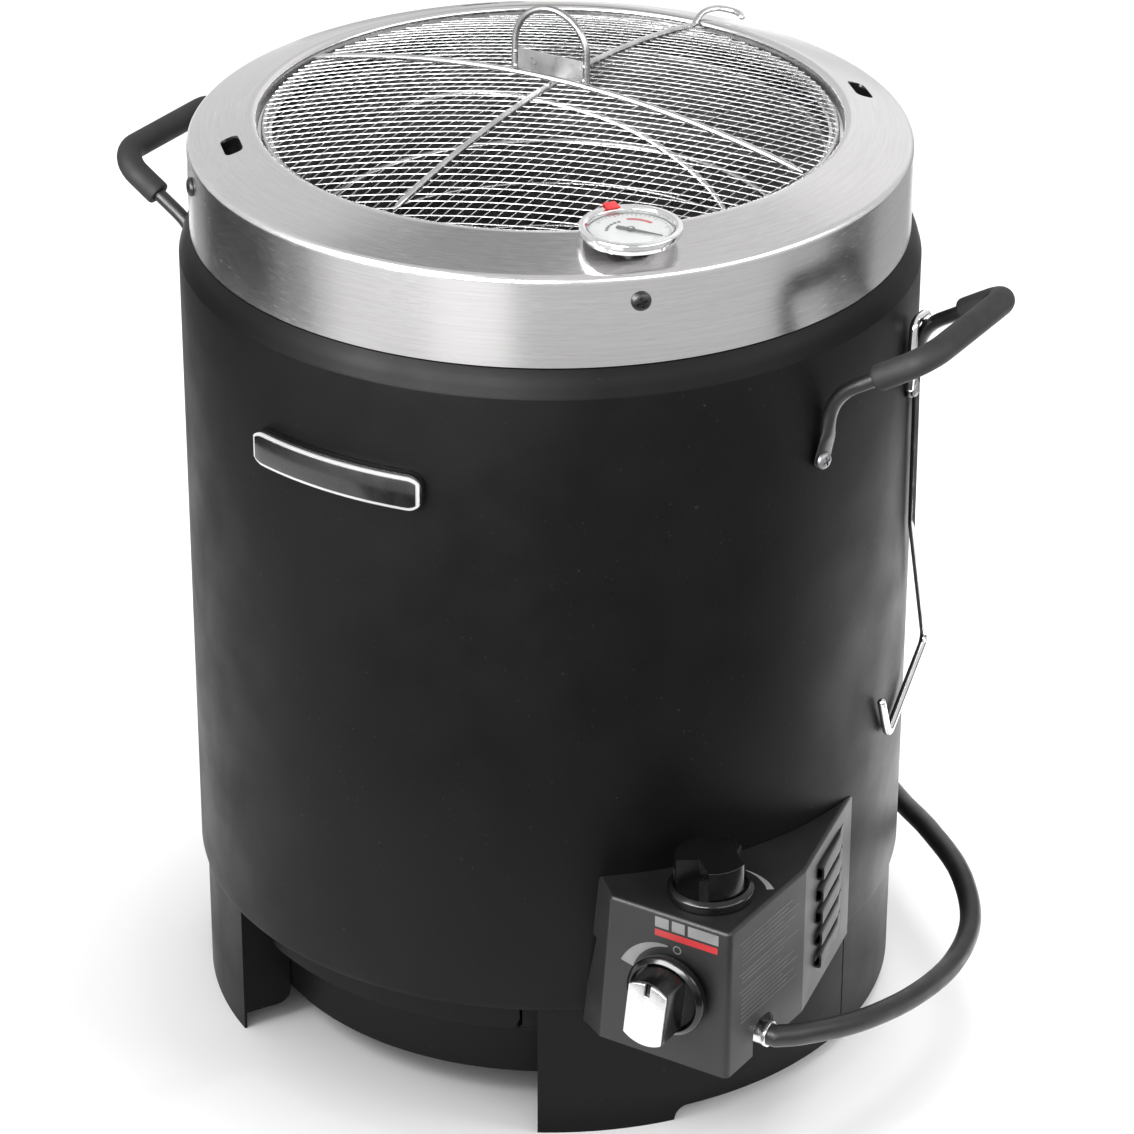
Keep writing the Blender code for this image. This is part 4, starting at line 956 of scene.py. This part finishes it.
def panel_marks(knob, top_knob, front, top):
    """Generic printed marks: arcs round the knobs, plain bars and ruled lines."""
    face = upright((1, 0, 0), (knob.x, front, knob.z))
    flat_mark("mark_arc", swoosh(0.0258, 0.0338, 98, 166), face, "print")
    face = face @ Matrix.Translation((0.0013, -0.0010, 0.0))
    bm = solid(turned, rectangle(0.0019, 0.0026, INK_LOW, INK_HIGH), 24,
               face @ Matrix.Translation((0.0010, 0.0265, 0.0)))
    piece("mark_ring", bm, "print", "fryer_body")
    left = -0.0130
    for i, (x0, x1) in enumerate(((0.0, 0.0085), (0.0105, 0.0185), (0.0205, 0.0395))):
        bar = rectangle(left + x0, left + x1, 0.0375, 0.0440)
        flat_mark(f"mark_title_{i}", bar, face, "print")
    bar = rectangle(left, left + 0.0390, 0.0320, 0.0360)
    flat_mark("mark_red_bar", bar, face, "red")
    crown = Matrix.Translation((top_knob.x + 0.0012, top_knob.y + 0.0007, top))
    flat_mark("mark_top_arc", swoosh(0.0295, 0.0335, 82.6, 38), crown, "print")
    near = Vector((PANEL_SIDE, front, 0.0))
    plane = upright((Vector((0.2235, PANEL_FOLD, 0.0)) - near).normalized(), near)
    row = 0
    for count, gap in ((6, 0.0), (3, 0.0026), (8, 0.0052)):
        for i in range(count):
            z = top - 0.0125 - 0.0029 * row - gap
            long = (0.060, 0.049, 0.056, 0.044)[(row * 3 + count) % 4]
            start = 0.0130 if i else 0.0100
            line = rectangle(start, start + long, z, z + 0.0008)
            flat_mark(f"mark_rule_{row}", line, plane, "faint")
            row += 1


def knob_plan(drum, half_width):
    """Outline of a grip bar: flat sides, and ends that follow the drum's circle."""
    span = 90 - math.degrees(math.acos(half_width / drum))
    return arc(drum, 90 - span, 90 + span, 16) + arc(drum, -90 - span, -90 + span, 16)


def knob_body(place, back, face, radius, plan):
    """Round flange with a raised lip and a dished floor, carrying a grip."""
    outline = fillet([(0.0, back, 0), (radius - 0.0003, back, 0.0003),
                      (radius, back + 0.0044, 0.0022), (radius - 0.0030, back + 0.0066, 0.0020),
                      (KNOB_DRUM + 0.0004, back + 0.0060, 0.0006),
                      (KNOB_DRUM - 0.0005, back + 0.0042, 0.0008), (0.0, back + 0.0040, 0)],
                     closed=False, steps=5)
    obj = to_object(solid(turned, outline, 96, place, loop=False))
    bar = solid(prism, plan, back + 0.0020, face, place)
    carve(obj, bar, "UNION")
    soften(obj, 0.0006, 3)
    return obj


def gas_knob():
    """Turning knob with a raised grip bar and a satin face plate."""
    low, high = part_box("gas_knob")
    x, _, z = centre("gas_knob")
    place = facing((x, 0.0, z), (0, -1, 0)) @ about_z(-6)
    back, face = -high.y, -low.y
    half_width = 0.0120
    obj = knob_body(place, back, face, (high.x - low.x) / 2, knob_plan(KNOB_DRUM, half_width))
    stem_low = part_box("gas_valve_stem")[0]
    bore = solid(rod, (x, high.y + 0.002, z), (x, stem_low.y - 0.0004, z), 0.0032)
    carve(obj, bore)
    piece("knob_gas", obj, "plastic", "knob", ["gas_knob"])

    plan = knob_plan(KNOB_DRUM - 0.0003, half_width - 0.0003)
    obj = to_object(solid(prism, plan, face + 0.0001, face + 0.0022, place))
    notch = solid(prism, rectangle(-0.0017, 0.0017, 0.0120, 0.0220), face - 0.002, face + 0.004,
                  place)
    carve(obj, notch)
    soften(obj, 0.0005, 3)
    piece("knob_plate", obj, "plate", "knob", ["gas_knob_plate"])


def igniter_knob():
    """Top knob: the gas knob's flange and lip, with a round drum that has two finger notches."""
    low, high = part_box("igniter_knob")
    x, y, _ = centre("igniter_knob")
    place = Matrix.Translation((x, y, 0.0)) @ about_z(31.5)
    obj = knob_body(place, low.z, high.z, (high.x - low.x) / 2, circle(KNOB_DRUM, 96))
    notches = bmesh.new()
    for corner, start, end in (((-0.0064, -0.0049), 195.7, 265.0),
                               ((0.0137, 0.0039), -29.0, 33.0)):
        prism(notches, [corner] + arc(KNOB_DRUM + 0.0002, start, end, 12), low.z + 0.0046,
              high.z + 0.004, place)
    carve(obj, notches)
    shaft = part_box("igniter_shaft")[1].z + 0.0003
    bore = solid(rod, (x, y, low.z - 0.002), (x, y, shaft), 0.0033)
    carve(obj, bore)
    piece("knob_igniter", obj, "plastic", "igniter", ["igniter_knob"])


def hose():
    """Rubber hose from its crimped ferrule to the regulator behind the body."""
    low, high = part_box("hose_ferrule")
    _, y, z = centre("hose_ferrule")
    along = facing((0.0, y, z), (1, 0, 0))
    x0, x1, r = low.x, high.x, (high.y - low.y) / 2
    profile = [(0.0, x0), (r * 0.86, x0), (r * 0.90, x0 + 0.0006), (r * 0.90, x1 - 0.0052),
               (r * 0.93, x1 - 0.0034), (r * 0.985, x1 - 0.0022), (r, x1 - 0.0012),
               (r * 0.99, x1 - 0.0003), (r * 0.94, x1), (0.0, x1)]
    bm = solid(turned, profile, 48, along)
    piece("hose_collar", bm, "plate", "fryer_body", ["hose_ferrule"])
    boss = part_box("gas_regulator")[1].x
    start = Vector((x1 + 0.0003, y, z))
    course = [(0.2300, y, z), (0.2405, -0.1225, 0.0858),
              (0.2545, -0.0850, 0.0775), (0.2629, -0.0350, 0.0690), (0.2627, 0.0150, 0.0640),
              (0.2530, 0.0560, 0.0670), (0.2285, 0.0900, 0.0740), (0.1908, 0.1250, 0.0725),
              (0.1560, 0.1540, 0.0680), (0.1180, 0.1870, 0.0660), (0.0920, 0.2140, 0.0660),
              (0.0720, 0.2300, 0.0660)]
    end = Vector((boss + 0.0003, 0.2300, 0.0660))
    hose_radius = 0.0063
    bm = solid(tube, [start, *spline(course, 12), end], hose_radius, 28)
    piece("hose_line", bm, "rubber", "fryer_body", ["gas_hose"])


# ---------------------------------------------------------------- lid and basket
def lid():
    """Woven lid mesh on a wire rim, with crossed wires, a rear hook, a loop and a tag plate."""
    low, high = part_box("lid_rim")
    rim, wire = high.x - 0.002, 0.002
    bm = solid(turned, circle(wire, 14, (rim, (low.z + high.z) / 2)), 180)
    piece("lid_edge", bm, "wire", "lid", ["lid_rim"])

    edge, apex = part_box("lid_mesh")
    reach = rim + 0.0002
    floor, rise = edge.z, apex.z - edge.z - 0.0008

    def dome(x, y):
        return floor + 0.0004 + rise * (1 - (x * x + y * y) / reach ** 2)

    bm = bmesh.new()
    for heading, pitch, strand, lift in ((23.0, 0.00665, 0.00046, 0.00020),
                                         (85.0, 0.00623, 0.00030, -0.00030)):
        a = math.radians(heading)
        u, v = Vector((math.cos(a), math.sin(a))), Vector((-math.sin(a), math.cos(a)))
        count = int(reach / pitch)
        for i in range(-count, count + 1):
            offset = i * pitch
            half = math.sqrt(max(0.0, reach ** 2 - offset ** 2))
            steps = max(2, int(half / 0.012))
            path = []
            for k in range(-steps, steps + 1):
                p = v * offset + u * (half * k / steps)
                path.append(Vector((p.x, p.y, dome(p.x, p.y) + lift)))
            tube(bm, path, strand, 5)
    piece("lid_screen", bm, "wire", "lid", ["lid_mesh"], sharp=80)

    r = 0.00175

    def height(s, top, end):
        return end + (top - end) * (1 - (s / LID_RADIUS) ** 2)

    cross_low, cross_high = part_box("lid_cross_wire")
    end = cross_low.z + r
    top = cross_high.z - r
    steps = [cross_high.x * k / 24 for k in range(-24, 25)]
    bm = bmesh.new()
    path = [Vector((s, 0.0, height(s, top, end))) for s in steps]
    tube(bm, path, r, 14, sizes=rounded_ends(path, r))
    piece("lid_wire_across", bm, "wire", "lid", ["lid_cross_wire"])
    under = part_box("lid_hook_wire")[1].z - r
    path = [Vector((0.0, s * LID_RADIUS / cross_high.x, height(s, under, end))) for s in steps]
    tail = [(0.0, 0.1570, end), (0.0010, 0.1660, 0.5412), (0.0050, 0.1745, 0.5420),
            (0.0125, 0.1780, 0.5412), (0.0195, 0.1765, 0.5408), (0.0245, 0.1710, 0.5412)]
    path = path[:-1] + spline(tail, 6)
    bm = solid(tube, path, r, 14, sizes=rounded_ends(path, r))
    piece("lid_wire_hook", bm, "wire", "lid", ["lid_hook_wire"])

    low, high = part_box("lid_loop")
    wire = (high.y - low.y) / 2
    half = high.x - wire
    bow = arc(half, 180, 0, 32, (0.0, high.z - wire - half))
    loop = [Vector((x, 0.0, z)) for x, z in [(-half, low.z), *bow, (half, low.z)]]
    bm = solid(tube, loop, wire, 18)
    piece("lid_bow", bm, "loop", "lid", ["lid_loop"])
    low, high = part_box("lid_tag_plate")
    bm = bmesh.new()
    plan = fillet([(*p, 0.0012) for p in rectangle(low.x, high.x, low.z, high.z)])
    prism(bm, plan, -0.0005, 0.0005, upright((1, 0, 0)))
    obj = to_object(bm)
    soften(obj, 0.0001, 1)
    piece("lid_tag", obj, "loop", "lid", ["lid_tag_plate"])
    bm = bmesh.new()
    for side in (-1, 1):
        for z in (low.z + 0.0016, high.z - 0.0022):
            spot = Matrix.Translation((side * (half - wire * 0.5), -wire * 0.55, z))
            turned(bm, [(0.0, -0.0013), (0.0009, -0.0009), (0.0013, 0.0), (0.0009, 0.0009),
                        (0.0, 0.0013)], 12, spot, loop=False)
    piece("lid_welds", bm, "loop", "lid")


def basket():
    """Wire basket with hoops, uprights, floor grid and bail."""
    low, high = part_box("basket")
    r = high.x - 0.0012
    bm = bmesh.new()

    def hoop(radius, z, size):
        turned(bm, circle(size, 8, (radius, z)), 96)

    hoop(r - 0.0008, high.z - 0.002, 0.0020)
    for k in range(13):
        hoop(r - 0.0020, low.z + 0.012 + 0.027 * k, 0.0009)
    for radius in (0.035, 0.070, 0.105):
        hoop(radius, low.z + 0.0012, 0.0010)
    hoop(r - 0.0100, low.z + 0.0014, 0.0014)
    uprights = 40
    for k in range(uprights):
        bearing = 360 * k / uprights
        path = bend([polar(0.020, bearing, low.z + 0.0030),
                     polar(r - 0.0002, bearing, low.z + 0.0030),
                     polar(r - 0.0002, bearing, high.z - 0.002)], (0.010,), 4)
        tube(bm, path, 0.0010, 6)
    piece("basket_cage", bm, "wire", "basket_body", ["basket"], sharp=70)
    low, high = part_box("basket_bail")
    wire = 0.0020
    top = high.z - wire
    foot = 0.1340
    rise = [(foot, low.z + 0.0015), (0.1180, top - 0.0490), (0.0940, top - 0.0235),
            (0.0520, top - 0.0050)]
    arch = [(-x, 0.0, z) for x, z in rise] + [(0.0, 0.0, top)]
    path = spline(arch + [(x, 0.0, z) for x, z in reversed(rise)], 8)
    bm = solid(tube, path, wire, 14, sizes=rounded_ends(path, wire))
    piece("basket_handle", bm, "wire", "basket_body", ["basket_bail"])


# ---------------------------------------------------------------- thermometer and lifter
def thermometer():
    """Dial thermometer: case, dial with ticks, pointer, glass, marker tab and stem."""
    low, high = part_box("thermometer_case")
    spot = centre("thermometer_case")
    place = Matrix.Translation((spot.x, spot.y, 0.0))
    r, z, top = (high.x - low.x) / 2, low.z, high.z
    bore = 0.0228
    outline = [(0.0245, z, 0.001), (0.0255, z + 0.0024, 0.0008), (r, z + 0.0032, 0.0008),
               (r, top - 0.0002, 0.0012), (r - 0.0030, top, 0.0012), (bore, top - 0.0014, 0.0006),
               (bore, z + 0.0018, 0.0)]
    profile = [(0.0, z), *fillet(outline, closed=False), (0.0, z + 0.0018)]
    bm = solid(turned, profile, 96, place, loop=False)
    piece("gauge_case", bm, "chrome", "thermometer", ["thermometer_case"])
    face = z + 0.0027
    profile = [(0.0, z + 0.0021), (0.0222, z + 0.0021), (0.0222, face - 0.0001), (0.0220, face),
               (0.0010, face), (0.0009, z + 0.0045), (0.0, z + 0.0046)]
    bm = solid(turned, profile, 72, place)
    piece("gauge_dial", bm, "dial", "thermometer", ["thermometer_dial"])
    ticks = bmesh.new()
    for k in range(41):
        turn = place @ about_z(-135 + 270 * k / 40 + 45)
        inner = 0.0182 if k % 5 == 0 else 0.0196
        prism(ticks, rectangle(inner, 0.0212, -0.00016, 0.00016), face + INK_LOW, face + 0.0001,
              turn)
    for x, y in arc(0.0125, 150, 210, 5, spot.xy):
        turned(ticks, rectangle(0.0, 0.0010, face + INK_LOW, face + 0.0001), 12,
               Matrix.Translation((x, y, 0.0)))
    piece("gauge_scale", ticks, "ink", "thermometer")
    band = solid(turned, rectangle(0.0135, 0.0158, face + INK_LOW, face + 0.00008), 48, place)
    keep = solid(prism, [(0, 0), (0.03, -0.012), (0.03, 0.020)], face - 0.001, face + 0.001,
                 place @ about_z(95))
    obj = to_object(band)
    carve(obj, keep, "INTERSECT")
    piece("gauge_band", obj, "red", "thermometer")
    bm = solid(turned, [(0.0, z + 0.0049), (0.0225, z + 0.0049), (0.0225, z + 0.0056),
                        (0.0150, z + 0.00575), (0.0, z + 0.0058)], 72, place)
    piece("gauge_glass", bm, "glass", "thermometer", ["thermometer_lens"])
    stem_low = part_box("thermometer_stem")[0].z
    stem = [(0.0, stem_low), *fillet([(0.0004, stem_low, 0.0), (0.0018, stem_low + 0.006, 0.001),
                                      (0.0020, z - 0.0090, 0.0002), (0.0042, z - 0.0080, 0.0004),
                                      (0.0042, z - 0.0003, 0.0002)], closed=False),
            (0.0, z - 0.0003)]
    bm = solid(turned, stem, 32, place)
    piece("gauge_stem", bm, "chrome", "thermometer", ["thermometer_stem"])
    bm = bmesh.new()
    turn = place @ about_z(6)
    outline = [(0.0180, 0.0002), (0.0040, 0.0009), (-0.0080, 0.0014), (-0.0080, -0.0014),
               (0.0040, -0.0009), (0.0180, -0.0002)]
    prism(bm, outline, z + 0.0033, z + 0.0038, turn)
    obj = to_object(bm)
    hub = solid(turned, [(0.0, z + 0.0033), (0.0022, z + 0.0033), (0.0022, z + 0.0042),
                         (0.0016, z + 0.0046), (0.0, z + 0.0046)], 24, place)
    carve(obj, hub, "UNION")
    hole = solid(rod, (spot.x, spot.y, z), (spot.x, spot.y, z + 0.007), 0.00105)
    carve(obj, hole)
    piece("gauge_pointer", obj, "ink", "pointer", ["thermometer_pointer"])
    clip = fillet([(0.0205, z + 0.0072, 0), (r + 0.0003, z + 0.0072, 0),
                   (r + 0.0003, z + 0.0040, 0), (r + 0.0013, z + 0.0040, 0),
                   (r + 0.0013, z + 0.0084, 0.001), (0.0205, z + 0.0080, 0.0002)])
    turn = place @ about_z(145)
    obj = to_object(solid(prism, clip, -0.0034, 0.0034, turn @ upright((1, 0, 0))))
    soften(obj, 0.00025, 2)
    piece("gauge_marker", obj, "red", "marker", ["thermometer_marker"])


def lifter():
    """Chromed wire lifting hook."""
    wire = 0.0025
    points = [(0.2080, 0.0370, 0.4040), (0.2065, 0.0430, 0.4438), (0.2065, 0.0595, 0.4438),
              (0.2009, 0.0606, 0.4000), (0.2001, 0.0640, 0.3090), (0.1929, 0.1015, 0.2160),
              (0.2082, 0.0279, 0.1920), (0.2097, 0.0151, 0.2210)]
    path = bend(points, (0.006, 0.006, 0.05, 0.02, 0.006, 0.006), 10)
    path = dense(path, wire)
    bm = solid(tube, path, wire, 20, sizes=rounded_ends(path, wire))
    piece("lifter_wire", bm, "chrome", "lifter", ["lifter_hook"])


# ---------------------------------------------------------------- stage
def repaint():
    """Give the CAD nodes that still show their materials."""
    looks = {"burner_ring": "iron", "venturi_tube": "iron", "gas_valve": "brass",
             "gas_valve_plug": "brass", "gas_valve_stem": "zinc", "gas_inlet_pipe": "zinc",
             "igniter_module": "plastic", "igniter_electrode": "ceramic",
             "igniter_lead": "rubber", "igniter_shaft": "zinc", "gas_regulator": "zinc",
             "regulator_nut": "plastic"}
    for node, look in looks.items():
        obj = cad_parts[node]
        for entry in obj.material_slots:
            entry.material = LOOKS[look]


def area_light(name, place, target, size, power, glossy=True):
    """Soft rectangular light aimed at a point."""
    data = bpy.data.lights.new(name, "AREA")
    data.shape = "RECTANGLE"
    data.size, data.size_y = size
    data.energy = power
    obj = bpy.data.objects.new(name, data)
    obj.location = place
    obj.rotation_euler = (Vector(target) - Vector(place)).to_track_quat("-Z", "Y").to_euler()
    obj.visible_glossy = glossy
    bpy.context.scene.collection.objects.link(obj)


def reflector(name, bearing, width, start, end, brightness):
    """Card round the body axis that only reflections see.

    Its two edges are arcs, each given as a radius and a height.
    """
    mat = bpy.data.materials.new(name)
    mat.use_nodes = True
    tree = mat.node_tree
    tree.nodes.clear()
    emit = tree.nodes.new("ShaderNodeEmission")
    emit.inputs["Color"].default_value = (1.0, 1.0, 1.0, 1.0)
    emit.inputs["Strength"].default_value = brightness
    out = tree.nodes.new("ShaderNodeOutputMaterial")
    tree.links.new(emit.outputs[0], out.inputs["Surface"])
    bm = bmesh.new()
    rows = [[bm.verts.new(polar(radius, bearing + width * (k / 8 - 0.5), z)) for k in range(9)]
            for radius, z in (start, end)]
    skin(bm, rows, closed=False)
    obj = to_object(bm, name)
    obj.data.materials.append(mat)
    obj.visible_camera = False
    obj.visible_diffuse = False
    obj.visible_shadow = False
    obj.visible_transmission = False


def studio():
    """Pale floor, soft lights, reflection cards and the camera."""
    mat = bpy.data.materials.new("floor_white")
    mat.use_nodes = True
    shader = mat.node_tree.nodes["Principled BSDF"]
    shader.inputs["Base Color"].default_value = (0.93, 0.93, 0.93, 1.0)
    shader.inputs["Roughness"].default_value = 0.75
    bm = bmesh.new()
    bmesh.ops.create_grid(bm, x_segments=1, y_segments=1, size=9.0)
    floor = to_object(bm, "floor")
    floor.data.materials.append(mat)

    world = bpy.data.worlds.new("studio")
    world.use_nodes = True
    background = world.node_tree.nodes["Background"]
    background.inputs["Color"].default_value = (1.0, 1.0, 1.0, 1.0)
    background.inputs["Strength"].default_value = 0.85
    bpy.context.scene.world = world

    # Area lights carry the diffuse light; the cards below shape the reflections.
    area_light("key", (-0.9, -1.7, 2.3), (0, 0, 0.35), (1.2, 1.2), 28)
    area_light("top", (0.1, 0.6, 2.6), (0, 0, 0.4), (1.4, 1.0), 26, glossy=False)
    area_light("right", (2.2, 0.4, 1.0), (0, 0, 0.30), (0.9, 1.5), 34, glossy=False)

    # Bearing, width in degrees and brightness of the cards that the ring's edge reflects.
    ring_cards = ((-140, 14, 0.49), (-122, 22, 1.40), (-103, 16, 0.45), (-74, 42, 0.05),
                  (-46, 14, 0.25), (-35, 8, 0.70), (-16, 30, 1.00), (10, 22, 1.35),
                  (59, 76, 0.72), (107, 20, 0.55), (128, 22, 0.15), (159, 40, 0.52),
                  (190, 22, 1.60))
    for i, (bearing, width, brightness) in enumerate(ring_cards):
        reflector(f"card_ring_{i}", bearing, width, (0.80, 0.13), (0.80, 0.42), brightness)
    reflector("card_low_front", 45, 130, (0.80, 0.0), (0.80, 0.13), 0.10)
    reflector("card_floor_near", 45, 130, (0.22, 0.002), (0.46, 0.002), 1.6)
    reflector("card_floor_front", 45, 130, (0.52, 0.002), (0.80, 0.002), 0.10)
    reflector("card_floor_left", -90, 130, (0.25, 0.002), (0.80, 0.002), 1.3)
    reflector("card_floor_right", 150, 76, (0.25, 0.002), (0.80, 0.002), 2.9)
    reflector("card_softbox", -4, 62, (1.70, 0.62), (1.70, 1.45), 22.0)
    reflector("card_softbox_right", 84, 70, (1.70, 0.80), (1.70, 1.50), 5.0)
    reflector("card_high_right", 185, 44, (1.60, 0.62), (1.60, 2.00), 1.15)
    reflector("card_overhead", 231, 66, (0.35, 2.00), (1.10, 2.00), 0.40)

    camera = bpy.data.cameras.new("camera")
    camera.lens = 142.9
    camera.sensor_width = 36.0
    camera.clip_end = 50.0
    obj = bpy.data.objects.new("camera", camera)
    bpy.context.scene.collection.objects.link(obj)
    heading, pitch = math.radians(31.252), math.radians(27.91)
    forward = Vector((-math.sin(heading) * math.cos(pitch), math.cos(heading) * math.cos(pitch),
                      -math.sin(pitch)))
    turn = forward.to_track_quat("-Z", "Y").to_matrix().to_4x4()
    roll = about_z(0.216)
    obj.matrix_world = Matrix.Translation((1.2022, -1.9618, 1.4730)) @ turn @ roll
    bpy.context.scene.camera = obj
    bpy.context.scene.view_settings.view_transform = "Standard"


shell()
ring()
screws()
chamber()
legs()
pan()
tray()
handles()
badge()
panel()
gas_knob()
igniter_knob()
hose()
lid()
basket()
thermometer()
lifter()
repaint()
studio()
